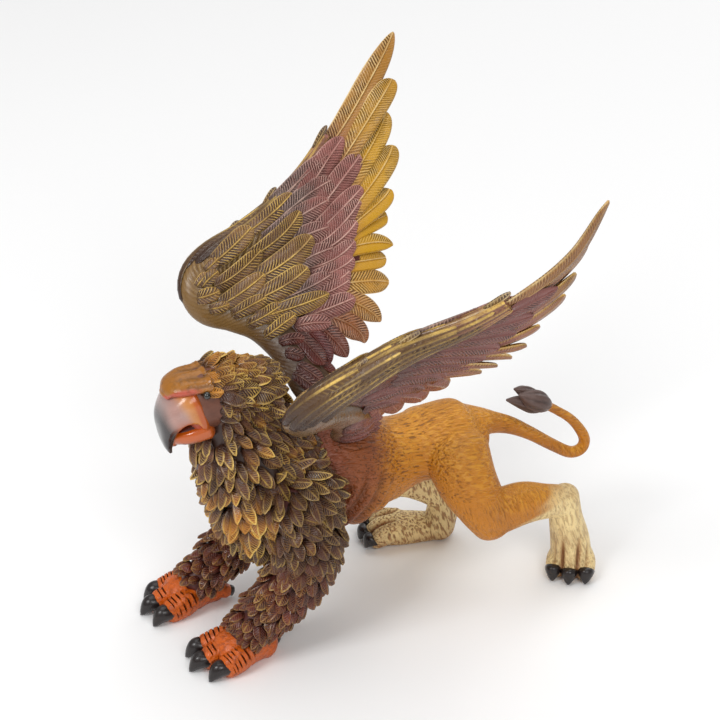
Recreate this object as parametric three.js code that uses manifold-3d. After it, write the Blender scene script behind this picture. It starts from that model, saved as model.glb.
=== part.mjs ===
// A toy griffin in moulded vinyl: an eagle's head, mane and forelegs on a lion's body.
// The body is one moulding, and each wing is a moulding glued into a socket in the back.
// +X is the griffin's left side, -Y its front and +Z up. Its soles stand on Z = 0.

import * as THREE from 'three';
import { mergeVertices } from 'three/addons/utils/BufferGeometryUtils.js';
import Module from 'manifold-3d';

const wasm = await Module();
wasm.setup();

// Driving dimensions in millimetres

const CREST_HEIGHT = 80; // soles to the tip of the crest
const WING_LENGTH = 94; // shoulder to the tip of the longest feather
const SOCKET_GAP = 0.3; // glue gap between a wing's root and its socket
const FLIGHT_THICKNESS = 1.3;
const COVERT_THICKNESS = 1.1;
const PLUME_LENGTH = 10; // one feather of the mane
const PLUME_WIDTH = 6.4;
const PLUME_LIFT = 1.5; // how far a mane feather's tip stands off the neck
const TALON_LENGTH = 5.2; // a claw of the eagle's feet
const CLAW_LENGTH = 4.4; // a claw of the lion's paws
const TAIL_THICKNESS = 5.2;
const TUFT_WIDTH = 6.4;

// The pose and carving are drawn on two grids: the figure's has 80 steps from sole to
// crest, and the wing's has 94 from the shoulder to its tip.
const STEP = CREST_HEIGHT / 80;
const WING_STEP = WING_LENGTH / 94;

const LEFT = 1;
const RIGHT = -1;
const ACROSS = new THREE.Vector3(1, 0, 0);

const grid = (x, y, z) => new THREE.Vector3(x, y, z).multiplyScalar(STEP);
const mix = THREE.MathUtils.lerp;
const radians = THREE.MathUtils.degToRad;

// Solids and their joins

// A closed solid from a list of points and triangles, turned outward if it was inside out.
function solidFrom(points, triangles) {
  const geometry = new THREE.BufferGeometry();
  geometry.setAttribute('position', new THREE.Float32BufferAttribute(points.flatMap((p) => p.toArray()), 3));
  geometry.setIndex(triangles.flat());
  const merged = mergeVertices(geometry, 1e-4);
  const index = Array.from(merged.index.array);
  const corner = (k) => new THREE.Vector3().fromBufferAttribute(merged.attributes.position, index[k]);
  let volume = 0;
  for (let k = 0; k < index.length; k += 3) {
    volume += corner(k).dot(corner(k + 1).cross(corner(k + 2)));
  }
  if (volume < 0) index.reverse();
  return new wasm.Manifold(new wasm.Mesh({
    numProp: 3,
    vertProperties: merged.attributes.position.array,
    triVerts: new Uint32Array(index),
  }));
}

const joined = (solids) => solids.reduce((sum, solid) => sum.add(solid));

// A skin over a row of rings with equal counts, closed to a point at each end.
function loft(start, rings, end) {
  const sides = rings[0].length;
  const points = [start, ...rings.flat(), end];
  const last = points.length - 1;
  const triangles = [];
  for (let s = 0; s < sides; s += 1) {
    const next = (s + 1) % sides;
    triangles.push([0, 1 + s, 1 + next]);
    for (let r = 0; r < rings.length - 1; r += 1) {
      const low = 1 + r * sides;
      const high = low + sides;
      triangles.push([low + s, high + s, high + next], [low + s, high + next, low + next]);
    }
    triangles.push([last - sides + s, last, last - sides + next]);
  }
  return solidFrom(points, triangles);
}

// A limb through stations [x, y, z, half width, half depth], smoothed to a number of rings.
// Its width lies along `side` as nearly as its path allows. Ribs swell every other ring.
function limb(stations, { sides = 10, rings = 10, side = ACROSS, rib = 0, dome = 0.5 } = {}) {
  const path = new THREE.CatmullRomCurve3(stations.map(([x, y, z]) => grid(x, y, z)));
  const girth = new THREE.CatmullRomCurve3(stations.map((s) => grid(s[3], s[4] ?? s[3], 0)));
  const skin = [];
  const ends = [];
  for (let r = 0; r < rings; r += 1) {
    const t = r / (rings - 1);
    const centre = path.getPoint(t);
    const along = path.getTangent(t);
    const wide = side.clone().addScaledVector(along, -side.dot(along)).normalize();
    const deep = along.clone().cross(wide);
    const size = girth.getPoint(t).addScalar(r % 2 ? rib : 0);
    skin.push(Array.from({ length: sides }, (_, k) => {
      const turn = (2 * Math.PI * k) / sides;
      return centre.clone()
        .addScaledVector(wide, size.x * Math.cos(turn))
        .addScaledVector(deep, size.y * Math.sin(turn));
    }));
    ends.push([centre, along, Math.min(size.x, size.y) * dome]);
  }
  const [first, last] = [ends[0], ends[rings - 1]];
  return loft(
    first[0].clone().addScaledVector(first[1], -first[2]),
    skin,
    last[0].clone().addScaledVector(last[1], last[2]),
  );
}

// A feather lying on a surface: a kite with a ridge and a flat underside, root to tip.
function plume(root, tip, outward, width, thickness) {
  const WIDEST = 0.62; // share of the length from the root
  const along = tip.clone().sub(root);
  const wide = along.clone().cross(outward).normalize();
  const up = wide.clone().cross(along).normalize();
  const centre = root.clone().addScaledVector(along, WIDEST);
  const edge = (hand) => centre.clone()
    .addScaledVector(wide, (hand * width) / 2)
    .addScaledVector(up, -thickness * 0.35);
  return loft(root, [[edge(LEFT), centre.clone().addScaledVector(up, thickness * 0.65), edge(RIGHT)]], tip);
}

// A hooked claw from its socket to its tip, square in section and highest at its middle.
function claw(root, tip, girth) {
  const along = tip.clone().sub(root);
  const beside = along.clone().cross(new THREE.Vector3(0, 0, 1)).normalize();
  const above = beside.clone().cross(along).normalize();
  const ring = (t, half, rise) => [[1, 0], [0, 1], [-1, 0], [0, -1]].map(([out, up]) => root.clone()
    .addScaledVector(along, t)
    .addScaledVector(beside, out * half)
    .addScaledVector(above, up * half + rise));
  return loft(root, [ring(0, girth, 0), ring(0.55, girth * 0.8, girth * 0.45)], tip);
}

// The lion: body, haunches, paws and tail

function torso() {
  return limb([
    [0, -14, 43, 11, 13], [0, -5, 43.2, 14.2, 15.9], [0, 3, 42.4, 14.4, 15.4], [0, 11, 40.8, 11.8, 12.4],
    [0, 18, 40.3, 10.5, 10.2], [0, 26, 41.2, 10.4, 10], [0, 34, 42, 10, 10], [0, 40, 43.6, 7.2, 6.8],
  ], { sides: 11, rings: 9 });
}

// The near haunch drives back, with the hock raised, and its paw is turned outward.
function leftHindLeg() {
  return joined([
    limb([
      [9.5, 29.5, 44, 7, 9.4], [13, 30.6, 37, 6.6, 8.6], [15, 34, 29, 5.8, 7.2], [15.5, 36.5, 24.5, 5, 6],
    ], { sides: 8, rings: 5 }),
    limb([
      [15.3, 36, 26.5, 4.8, 6.6], [15.2, 44, 27.4, 4.6, 6.3], [14.4, 52, 25.6, 4.1, 4.9],
      [13.6, 58, 23.6, 4, 4.6],
    ], { sides: 8, rings: 5 }),
    limb([
      [13.6, 58.2, 25, 3.8, 4.2], [13, 59.4, 18, 4.3, 4.6], [12.4, 61.4, 10, 5, 5.4], [13, 61.8, 4, 5.4, 5.6],
    ], { sides: 8, rings: 4 }),
    paw(12.5, 62.2, 55.6, 10.2),
  ]);
}

// The far hind leg is folded under the body, with its knee forward and its heel low.
function rightHindLeg() {
  return joined([
    limb([
      [-9.5, 29, 43, 7, 9.4], [-12.5, 26, 35, 6.6, 9], [-14, 22.5, 27.5, 5.6, 7], [-14.5, 21.5, 24, 4.8, 5],
    ], { sides: 8, rings: 5 }),
    limb([
      [-14.4, 22, 26, 4.4, 4.8], [-15, 29.4, 21, 4.2, 4.6], [-15.8, 37, 13, 4.1, 4.4],
      [-16.8, 36.6, 3.4, 4.4, 4.6],
    ], { sides: 8, rings: 5 }),
    paw(-20.6, 26.4, -17, 16),
  ]);
}

// A lion's paw about its middle, facing `heading` degrees outward from straight ahead.
function paw(x, y, heading, length) {
  const TOES = 3;
  const TOE_PITCH = 4.3;
  const turn = radians(heading);
  const ahead = new THREE.Vector3(Math.sin(turn), -Math.cos(turn), 0);
  const beside = new THREE.Vector3(Math.cos(turn), Math.sin(turn), 0);
  const middle = grid(x, y, 0);
  const spot = (forward, out, height) => middle.clone()
    .addScaledVector(ahead, forward * STEP)
    .addScaledVector(beside, out * STEP)
    .setZ(height * STEP)
    .divideScalar(STEP)
    .toArray();
  const pieces = [limb([
    [...spot(-length / 2, 0, 3), 4.6, 4], [...spot(0, 0, 3.1), 5.6, 4.5], [...spot(length / 3, 0, 2.6), 5.4, 3.7],
  ], { sides: 6, rings: 3, side: beside })];
  for (let k = 0; k < TOES; k += 1) {
    const out = (k - (TOES - 1) / 2) * TOE_PITCH;
    const reach = length / 2 - Math.abs(out) * 0.25;
    pieces.push(limb([
      [...spot(reach - 6.5, out * 0.7, 5.4), 2, 2.2], [...spot(reach - 3, out * 0.95, 4), 2.5, 2.9],
      [...spot(reach, out, 2.2), 2.3, 2.2],
    ], { sides: 5, rings: 3, side: beside }));
    pieces.push(claw(
      grid(...spot(reach + 0.4, out, 2.6)),
      grid(...spot(reach + 0.4, out * 1.04, 0.2)).addScaledVector(ahead, CLAW_LENGTH * 0.7),
      1.7 * STEP,
    ));
  }
  return joined(pieces);
}

function tail() {
  const thick = TAIL_THICKNESS / 2 / STEP;
  const lobe = TUFT_WIDTH / 4 / STEP;
  return joined([
    limb([
      [0, 38, 45, thick * 1.6], [0, 43.5, 44.6, thick * 1.25], [0, 48.7, 42.3, thick], [0, 54.8, 38.2, thick * 0.8],
      [0, 61.7, 32.6, thick * 0.66], [0, 67.4, 28.8, thick * 0.64], [0, 71, 29.2, thick * 0.62],
      [0, 71.4, 32.8, thick * 0.6], [0, 67.5, 38.8, thick * 0.52], [0, 62.4, 43.2, thick * 0.48],
      [0, 58.5, 46, thick * 0.5],
    ], { sides: 5, rings: 12 }),
    limb([[0, 59.5, 45.4, 1.2], [0.8, 56, 47.6, lobe * 1.25], [0.8, 52, 49.6, lobe], [0.5, 50, 50.6, 0.5]],
      { sides: 5, rings: 4 }),
    limb([[0, 59.5, 45.2, 1], [-0.6, 55, 46.6, lobe], [-0.6, 51, 48.2, lobe * 0.8], [-0.4, 47.8, 49.8, 0.4]],
      { sides: 5, rings: 4 }),
  ]);
}

// The eagle: neck, head, beak and forelegs

// Levels of the feathered neck: [height, middle in y, half depth, half width].
const MANE = [
  [27.5, -17, 6, 7], [31.5, -17.6, 10, 12], [38, -19, 13.4, 14], [46, -20.5, 15.2, 15], [54, -22, 15, 14],
  [61, -25, 12.8, 11.4], [68, -28, 10.4, 9.4], [73, -30, 8, 8],
];

function mane() {
  return limb(MANE.map(([z, y, deep, wide]) => [0, y, z, wide, deep]), { sides: 12, rings: 7 });
}

function head() {
  const pieces = [
    limb([
      [0, -43, 68, 6, 7], [0, -38, 69.5, 7.4, 7.6], [0, -31, 69.4, 8.4, 8], [0, -24, 66, 9, 8.4],
    ], { sides: 9, rings: 4 }),
    limb([
      [0, -46.6, 73.8, 3.6, 1.1], [0, -43.2, 75.4, 6, 2.3], [0, -38.5, 76.3, 7.2, 2.5], [0, -31, 75.6, 6.8, 2.2],
    ], { sides: 7, rings: 4 }),
  ];
  for (const hand of [LEFT, RIGHT]) {
    pieces.push(limb([
      [hand * 5.4, -43, 73.8, 1.1], [hand * 7.6, -38.5, 75, 1.5], [hand * 8.6, -32.5, 74.4, 1],
    ], { sides: 4, rings: 3 }));
    pieces.push(limb([[hand * 6.4, -39.4, 72.6, 1.2], [hand * 7.4, -39.6, 72.6, 1.1]], { sides: 4, rings: 2 }));
  }
  const crests = [[-37.5, 76.6, -31, 80, 7], [-32.5, 75.6, -23.4, 78.4, 8.4], [-27.5, 72.6, -18, 73.6, 9]];
  for (const [rootY, rootZ, tipY, tipZ, width] of crests) {
    pieces.push(plume(grid(0, rootY, rootZ), grid(0, tipY, tipZ), grid(0, 0, 1), width * STEP, 2 * STEP));
  }
  return joined(pieces);
}

// A deep hooked upper mandible over a shorter lower one, with the mouth a little open.
function beak() {
  return joined([
    limb([
      [0, -38, 69.4, 6.6, 7.4], [0, -43, 69.2, 6, 6.6], [0, -45.6, 65.6, 4.6, 4.4], [0, -46.6, 61.4, 2.9, 2.9],
      [0, -46.1, 58.2, 0.9, 1.2],
    ], { sides: 8, rings: 7, dome: 0.6 }),
    limb([
      [0, -37, 62.4, 5.2, 2.6], [0, -41, 60.6, 4, 2], [0, -44, 59.7, 2, 1],
    ], { sides: 6, rings: 3 }),
  ]);
}

// A foreleg on one side, set forward by `reach`: shoulder, elbow drawn back, then the shank.
function foreleg(hand, reach) {
  return limb([
    [hand * 11, -18, 44, 8, 9.4], [hand * 13.4, -16, 34, 7.4, 8.2], [hand * 14, -16.8 - reach * 0.3, 26, 6.6, 7],
    [hand * 14, -21.6 - reach * 0.5, 18.4, 5.8, 6], [hand * 13.8, -27.2 - reach * 0.8, 13.4, 5.2, 5.4],
    [hand * 13.4, -33 - reach, 8.4, 4.6, 4.6],
  ], { sides: 8, rings: 7 });
}

// An eagle's foot: three toes with plates across them, a spur behind, and talons.
function foot(hand, x, y) {
  const TOES = [[-5.4, -8.2, -10], [0, -9.4, -2], [5, -6.4, 8]];
  const pieces = [limb([
    [x, y + 5.5, 3.1, 3.6, 4.1], [x, y + 1, 4.4, 5.4, 5.7], [x, y - 4, 3.8, 6, 5],
  ], { sides: 6, rings: 3 })];
  for (const [out, ahead, splay] of TOES) {
    const turn = radians(splay) * hand;
    const lead = new THREE.Vector3(Math.sin(turn), -Math.cos(turn), 0);
    const knuckle = [x + hand * out * 0.85, y + ahead * 0.45, 4];
    const end = [x + hand * out, y + ahead, 2.8];
    pieces.push(limb([
      [x + hand * out * 0.5, y + 2, 6, 2.4, 2.4], [...knuckle, 2.8, 3.8], [...end, 2.6, 3.3],
    ], { sides: 5, rings: 4, rib: 0.35 * STEP }));
    pieces.push(claw(
      grid(...end),
      grid(end[0], end[1], 0.3).addScaledVector(lead, TALON_LENGTH),
      2 * STEP,
    ));
  }
  const spur = [x - hand * 2, y + 8, 2.6];
  pieces.push(limb([[x - hand, y + 3, 4, 2.4], [...spur, 2]], { sides: 5, rings: 2 }));
  pieces.push(claw(grid(...spur), grid(spur[0], spur[1] + 2, 0.2), 1.4 * STEP));
  return joined(pieces);
}

// Feathers in rows around the neck, each row lapping the one below

// The neck's middle in y, half depth and half width at a height.
function neckAt(z) {
  const above = MANE.findIndex((level) => level[0] > z);
  const k = Math.max(0, above < 0 ? MANE.length - 2 : above - 1);
  const share = (z - MANE[k][0]) / (MANE[k + 1][0] - MANE[k][0]);
  return [1, 2, 3].map((column) => mix(MANE[k][column], MANE[k + 1][column], share));
}

function onNeck(z, turn) {
  const [y, deep, wide] = neckAt(z);
  return grid(wide * Math.cos(turn), y + deep * Math.sin(turn), z);
}

function manePlumes() {
  const ROWS = 6;
  const LOWEST = 37;
  const HIGHEST = 70;
  const TIGHTNESS = 1.2; // spacing as a share of a feather's width
  const CHIN = 56; // above it the feathers leave room for the beak
  const SHOULDERS = 60; // below it the neck is joined to the body behind
  const SWEEP = 0.8; // how far the highest feathers lean back
  const BEDDED = 1.2 * STEP; // depth of a feather's root in the neck
  const pieces = [];
  for (let row = 0; row < ROWS; row += 1) {
    const z = mix(HIGHEST, LOWEST, row / (ROWS - 1));
    const [, deep, wide] = neckAt(z);
    const count = Math.round((Math.PI * (wide + deep) * STEP) / (PLUME_WIDTH * TIGHTNESS));
    for (let k = 0; k < count; k += 1) {
      const turn = (2 * Math.PI * (k + (row % 2) / 2)) / count;
      const outward = new THREE.Vector3(Math.cos(turn) / wide, Math.sin(turn) / deep, 0).normalize();
      const underBeak = z > CHIN && outward.y < -0.72;
      const insideBody = z < SHOULDERS && outward.y > 0.5;
      if (underBeak || insideBody) continue;
      const surface = onNeck(z, turn);
      const flow = onNeck(z - PLUME_LENGTH / STEP / 2, turn).sub(surface).normalize();
      flow.y += SWEEP * THREE.MathUtils.smoothstep(z, 46, 72);
      const root = surface.clone().addScaledVector(outward, -BEDDED);
      const tip = surface.clone()
        .addScaledVector(flow.normalize(), PLUME_LENGTH)
        .addScaledVector(outward, PLUME_LIFT);
      pieces.push(plume(root, tip, outward, PLUME_WIDTH, 1.5 * STEP));
    }
  }
  return joined(pieces);
}

// Feathers down the outside and back of a foreleg, pointing down the shank.
function legPlumes(hand, reach) {
  const ROWS = [[34, -15, 5.2], [27, -16.4, 5], [19.6, -20.6, 4.2], [14.4, -26, 3.8]]; // [height, y, girth]
  const TURNS = [-20, 60]; // degrees round from the outside toward the back
  const STAGGER = 40;
  const SHARE = 0.85; // size beside a feather of the mane
  const pieces = [];
  ROWS.forEach(([z, y, girth], row) => {
    const down = row / (ROWS.length - 1);
    for (const degrees of TURNS) {
      const turn = radians(degrees + (row % 2) * STAGGER);
      const outward = new THREE.Vector3(hand * Math.cos(turn), Math.sin(turn), 0);
      const root = grid(hand * 13.8, y - reach * down, z).addScaledVector(outward, girth * STEP);
      const tip = root.clone()
        .addScaledVector(new THREE.Vector3(0, -0.8 * down, -1).normalize(), PLUME_LENGTH * SHARE)
        .addScaledVector(outward, PLUME_LIFT);
      pieces.push(plume(root, tip, outward, PLUME_WIDTH * SHARE, 2 * STEP));
    }
  });
  return joined(pieces);
}

// Wings, drawn on the wing's own grid: p runs back, q up the wing and n out of its upper face

const WING_TILT = radians(31.2); // how far the wing's upper face leans from level toward the sky
const UP_WING = new THREE.Vector3(Math.sin(WING_TILT), 0, Math.cos(WING_TILT));
const OUT_OF_WING = new THREE.Vector3(-Math.cos(WING_TILT), 0, Math.sin(WING_TILT));
const SOCKET = grid(7.6, 1, 54); // the wing's seat in the back
const SOCKET_ON_WING = [7.6, -11.6, 5.7];
const WING_AXIS = new THREE.Vector2(0.78, 0.63); // from the shoulder to the tip
const LEADING_EDGE = 34; // how far it lies ahead of the axis

// How far the wing's middle surface stands off its flat plane at a place on its grid. It
// waves along the axis, and near the root its trailing side lifts toward the body.
const WAVE = new THREE.SplineCurve(
  [-3.6, -1.6, 0, -1.4, -2.4, -1, 5].map((offset, k) => new THREE.Vector2(k, offset)),
);
const WAVE_LENGTH = 90;
const LIFT_AT_ROOT = 0.22;
const LIFTED_SHARE = 0.53; // share of the wave's length over which the lift fades out

function camber(p, q) {
  const along = (WING_AXIS.x * p + WING_AXIS.y * q) / WAVE_LENGTH;
  const behind = WING_AXIS.y * p - WING_AXIS.x * q + LEADING_EDGE;
  const wave = WAVE.getPoint(THREE.MathUtils.clamp(along, 0, 1)).y;
  return wave + LIFT_AT_ROOT * Math.max(0, 1 - along / LIFTED_SHARE) * behind;
}

function onWing(p, q, n) {
  return new THREE.Vector3(0, p - SOCKET_ON_WING[0], 0)
    .addScaledVector(UP_WING, q - SOCKET_ON_WING[1])
    .addScaledVector(OUT_OF_WING, n - SOCKET_ON_WING[2])
    .multiplyScalar(WING_STEP)
    .add(SOCKET);
}

// A curved feather from root to tip, heading `angle` at its tip and rolled so that its
// front edge stands higher, in a layer `lift` above the wing's middle surface.
function wingFeather(root, tip, angle, width, thickness, lift) {
  const ROLL = 0.14;
  const BEND = 0.42;
  const STRAIGHT = 24; // degrees of turn below which a feather needs no ring in its middle
  const LONG = 36; // and the reach above which it needs one all the same
  const reach = Math.hypot(tip[0] - root[0], tip[1] - root[1]);
  const chord = THREE.MathUtils.radToDeg(Math.atan2(tip[1] - root[1], tip[0] - root[0]));
  const start = new THREE.Vector2(...root);
  const end = new THREE.Vector2(...tip);
  const heading = new THREE.Vector2(Math.cos(radians(angle)), Math.sin(radians(angle)));
  const bend = end.clone().addScaledVector(heading, -reach * BEND);
  const curve = new THREE.QuadraticBezierCurve(start, bend, end);
  const ring = (t, share) => {
    const spot = curve.getPoint(t);
    const along = curve.getTangent(t);
    const half = (width * share) / 2;
    const point = (out, rise) => {
      const p = spot.x - along.y * out;
      const q = spot.y + along.x * out;
      return onWing(p, q, camber(p, q) + lift + rise + out * ROLL);
    };
    return [point(half, -thickness / 3), point(0, (thickness * 2) / 3), point(-half, -thickness / 3)];
  };
  const close = (spot) => onWing(spot.x, spot.y, camber(spot.x, spot.y) + lift);
  const middle = Math.abs(chord - angle) > STRAIGHT || reach > LONG ? [ring(0.5, 1)] : [];
  return loft(close(start), [ring(0.08, 0.9), ...middle, ring(0.86, 0.86)], close(end));
}

// A row of feathers with their roots spread evenly along a curve.
function featherRow({ roots, tips, width, thickness, layer }) {
  const STACK = 0.75; // share of a covert's thickness that one layer stands above the next
  const curve = new THREE.SplineCurve(roots.map(([p, q]) => new THREE.Vector2(p, q)));
  return tips.map(([p, q, angle, swell = 1], k) => {
    const root = curve.getPoint(k / (tips.length - 1)).toArray();
    return wingFeather(root, [p, q], angle, width * swell, thickness, layer * STACK * COVERT_THICKNESS);
  });
}

// Tips are [p, q, heading in degrees, share of the row's width]. Layers count up from the
// flight feathers, and the last row lies on the wing's underside.
const FEATHER_ROWS = [
  {
    thickness: FLIGHT_THICKNESS,
    width: 7,
    layer: 0,
    roots: [[22, 51.6], [12, 45], [5, 38], [3, 29], [2, 20], [5, 10]],
    tips: [
      [49, 82, 49], [44.8, 69.6, 46], [41.5, 61.4, 44], [42, 52.6, 38], [38.4, 41.9, 20], [36.8, 35.3, 8],
      [36.4, 27.6, -6], [34.6, 23.4, -14], [32.2, 17.6, -24, 1.25], [26.6, 8.2, -46, 1.2], [20.8, 4, -56, 1.15],
      [15.2, 1.6, -66, 1.1], [10.4, 1, -74],
    ],
  },
  {
    thickness: COVERT_THICKNESS,
    width: 7,
    layer: 1,
    roots: [[13, 48.6], [3, 41], [-3, 33], [-3, 22], [0, 11]],
    tips: [
      [28.9, 57.7, 42], [32.2, 51, 40], [30, 41.4, 28], [26.6, 33.4, 16], [24.2, 25, 2], [21.8, 17, -16],
      [15.6, 10.4, -40], [9, 5, -60],
    ],
  },
  {
    thickness: COVERT_THICKNESS,
    width: 7.6,
    layer: 2,
    roots: [[-2, 39], [-8, 31.6], [-8, 22], [-5, 14]],
    tips: [[11.6, 45.4, 40], [14.4, 38, 32], [13.6, 29.6, 14], [8.4, 20.4, -10], [2.6, 12.4, -34]],
  },
  {
    thickness: COVERT_THICKNESS,
    width: 8,
    layer: 3,
    roots: [[-13, 34], [-15.4, 28.6], [-14, 22.4]],
    tips: [[-0.4, 38.4, 36], [0.8, 30.2, 22], [-1, 22.4, 4]],
  },
  {
    thickness: COVERT_THICKNESS,
    width: 4.6,
    layer: 1,
    roots: [[-17, 31], [-7, 36.6], [7, 44]],
    tips: [[-8.6, 38.6, 34], [7, 46.6, 32], [23.8, 57.8, 46]],
  },
  {
    thickness: COVERT_THICKNESS,
    width: 5.4,
    layer: -1.6,
    roots: [[-16, 20], [-12, 25], [-6, 31], [4, 39]],
    tips: [[1.8, 27.6, 26], [5.6, 38, 48], [24, 55, 44]],
  },
];

// The arm runs up from the root, bulges at the wrist and turns back along the leading edge.
function wingArm() {
  const stations = [
    [3, -3, 6.6, 2.2], [1, 5, 5, 2.2], [-4.4, 13.6, 4.8, 2.4], [-10.4, 18.6, 5.4, 3], [-15.8, 22.4, 6.2, 3.6],
    [-16.2, 27, 6.4, 3.6], [-12, 31, 6, 3.2], [-2.4, 35.8, 4.8, 2.6], [7.8, 41.8, 3.8, 2.1], [18, 49.6, 2.8, 1.6],
    [26, 58, 1.7, 1.1],
  ];
  const SIDES = 6;
  const path = new THREE.SplineCurve(stations.map(([p, q]) => new THREE.Vector2(p, q)));
  const girth = new THREE.SplineCurve(stations.map((s) => new THREE.Vector2(s[2], s[3])));
  const rings = [];
  for (let r = 0; r < stations.length; r += 1) {
    const t = r / (stations.length - 1);
    const [spot, along, size] = [path.getPoint(t), path.getTangent(t), girth.getPoint(t)];
    rings.push(Array.from({ length: SIDES }, (_, k) => {
      const turn = (2 * Math.PI * k) / SIDES;
      const p = spot.x - along.y * size.x * Math.cos(turn);
      const q = spot.y + along.x * size.x * Math.cos(turn);
      return onWing(p, q, camber(spot.x, spot.y) + size.y * Math.sin(turn));
    }));
  }
  const [first, last] = [stations[0], stations[stations.length - 1]];
  const [base, end] = [first, last].map(([p, q]) => onWing(p, q, camber(p, q)));
  return loft(base, rings, end);
}

// The wing's root, which fills its socket. To cut the socket it is made larger by `grow`.
function wingRoot(grow) {
  const SIDES = 8;
  const [p, q, n] = SOCKET_ON_WING;
  const stations = [
    [p, q - 2.6, n, 4, 1.6], [p - 0.4, q + 1, n, 5, 1.8], [p - 2, q + 5, n - 0.4, 5.8, 2], [p - 4, q + 10, n - 1, 6, 2],
  ];
  const rings = stations.map(([sp, sq, sn, wide, deep]) => Array.from({ length: SIDES }, (_, k) => {
    const turn = (2 * Math.PI * k) / SIDES;
    return onWing(
      sp + (wide + grow) * Math.cos(turn), sq - grow, sn + (deep + grow) * Math.sin(turn),
    );
  }));
  return loft(onWing(p, q - 3.6 - grow, n), rings, onWing(p - 4, q + 11, n - 1));
}

function wing() {
  return joined([wingArm(), wingRoot(0), ...FEATHER_ROWS.flatMap(featherRow)]);
}

// Trimming, mirroring and the finished meshes

// What is left of a solid above the ground, so that soles, toes and claws stand flat.
function standing(solid) {
  const SPREAD = 2 * CREST_HEIGHT;
  const floor = new THREE.BoxGeometry(SPREAD, 2 * SPREAD, SPREAD).translate(0, 0, -SPREAD / 2);
  for (const name of ['normal', 'uv']) floor.deleteAttribute(name);
  const merged = mergeVertices(floor);
  return solid.subtract(new wasm.Manifold(new wasm.Mesh({
    numProp: 3,
    vertProperties: merged.attributes.position.array,
    triVerts: new Uint32Array(merged.index.array),
  })));
}

function mirrored(solid) {
  const mesh = solid.getMesh();
  const vertices = mesh.vertProperties.map((value, k) => (k % 3 ? value : -value));
  return new wasm.Manifold(new wasm.Mesh({
    numProp: 3,
    vertProperties: vertices,
    triVerts: mesh.triVerts.slice().reverse(),
  }));
}

function namedMesh(name, solid, colour, roughness) {
  const mesh = solid.getMesh();
  const geometry = new THREE.BufferGeometry();
  geometry.setAttribute('position', new THREE.BufferAttribute(mesh.vertProperties, 3));
  geometry.setIndex(new THREE.BufferAttribute(mesh.triVerts, 1));
  geometry.computeVertexNormals();
  const material = new THREE.MeshStandardMaterial({ color: colour, roughness, metalness: 0 });
  const result = new THREE.Mesh(geometry, material);
  result.name = name;
  return result;
}

const figure = standing(joined([
  torso(), leftHindLeg(), rightHindLeg(), tail(), mane(), head(), beak(),
  foreleg(LEFT, 0), foot(LEFT, 13, -33), foreleg(RIGHT, 3), foot(RIGHT, -15.5, -36), manePlumes(),
  legPlumes(LEFT, 0), legPlumes(RIGHT, 3),
]));
const leftWing = wing();
const socket = wingRoot(SOCKET_GAP / WING_STEP);

const griffin = new THREE.Group();
griffin.add(
  namedMesh('figure', figure.subtract(socket).subtract(mirrored(socket)), 0xb9752c, 0.55),
  namedMesh('left_wing', leftWing, 0x6e5238, 0.5),
  namedMesh('right_wing', mirrored(leftWing), 0x6e5238, 0.5),
);

// The origin is under the middle of the whole toy, on the ground.
const middle = new THREE.Box3().setFromObject(griffin).getCenter(new THREE.Vector3());
griffin.position.set(-middle.x, -middle.y, 0);
griffin.updateMatrixWorld(true);

export default griffin;
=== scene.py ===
"""A toy griffin in moulded, hand-painted vinyl: an eagle before, a lion behind, wings raised.

Shapes are worked out in millimetres on the figure's own grid, with +X to its left, -Y ahead
and +Z up, the ground at 0 and the origin under the middle of its four feet.
"""

import math
from types import SimpleNamespace

import bpy
import numpy as np
from mathutils import Matrix, Vector


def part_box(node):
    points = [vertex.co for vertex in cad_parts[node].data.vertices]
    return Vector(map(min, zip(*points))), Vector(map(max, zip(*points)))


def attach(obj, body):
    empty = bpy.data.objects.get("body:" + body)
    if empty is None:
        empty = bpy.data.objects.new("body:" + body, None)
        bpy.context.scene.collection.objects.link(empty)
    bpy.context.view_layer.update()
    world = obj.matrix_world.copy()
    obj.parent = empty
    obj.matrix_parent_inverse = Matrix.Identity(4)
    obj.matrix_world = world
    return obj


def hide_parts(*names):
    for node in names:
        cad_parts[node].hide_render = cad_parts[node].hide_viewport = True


bl_info = {
    "name": "Painted griffin figurine",
    "version": (1, 0, 0),
    "blender": (4, 5, 0),
    "location": "3D View > Sidebar > Griffin",
    "description": "Builds the feathers, fur, beak, claws and paint of a moulded griffin",
    "category": "Object",
}

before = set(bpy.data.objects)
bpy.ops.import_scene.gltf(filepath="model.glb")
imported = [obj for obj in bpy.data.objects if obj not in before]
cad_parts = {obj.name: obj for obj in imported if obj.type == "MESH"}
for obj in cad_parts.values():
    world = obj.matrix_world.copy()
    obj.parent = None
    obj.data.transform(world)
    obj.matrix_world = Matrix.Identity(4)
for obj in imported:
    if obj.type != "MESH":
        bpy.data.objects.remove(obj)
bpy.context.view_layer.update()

MM = 0.001
TAIL_END = 72.97  # the rearmost point of the tail on the grid
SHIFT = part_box("figure")[1].y / MM - TAIL_END
LEFT, RIGHT = 1, -1


def srgb(code):
    """A linear colour from a hexadecimal screen colour."""
    parts = np.array([int(code[k:k + 2], 16) for k in (1, 3, 5)]) / 255
    return tuple(np.where(parts < 0.04045, parts / 12.92, ((parts + 0.055) / 1.055) ** 2.4))


# Numbers on curves and surfaces


def smoothstep(x, low, high):
    """0 at low and 1 at high, with t * t * (3 - 2 * t) between them; high may be the smaller."""
    t = np.clip((np.asarray(x, float) - low) / (high - low), 0, 1)
    return t * t * (3 - 2 * t)


def unit(v):
    """Vectors brought to length 1."""
    return v / np.maximum(np.linalg.norm(v, axis=-1, keepdims=True), 1e-9)


def mix(a, b, share):
    """Between a and b by share, which may vary from point to point."""
    share = np.asarray(share, float)[..., None]
    return np.asarray(a, float) * (1 - share) + np.asarray(b, float) * share


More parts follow.
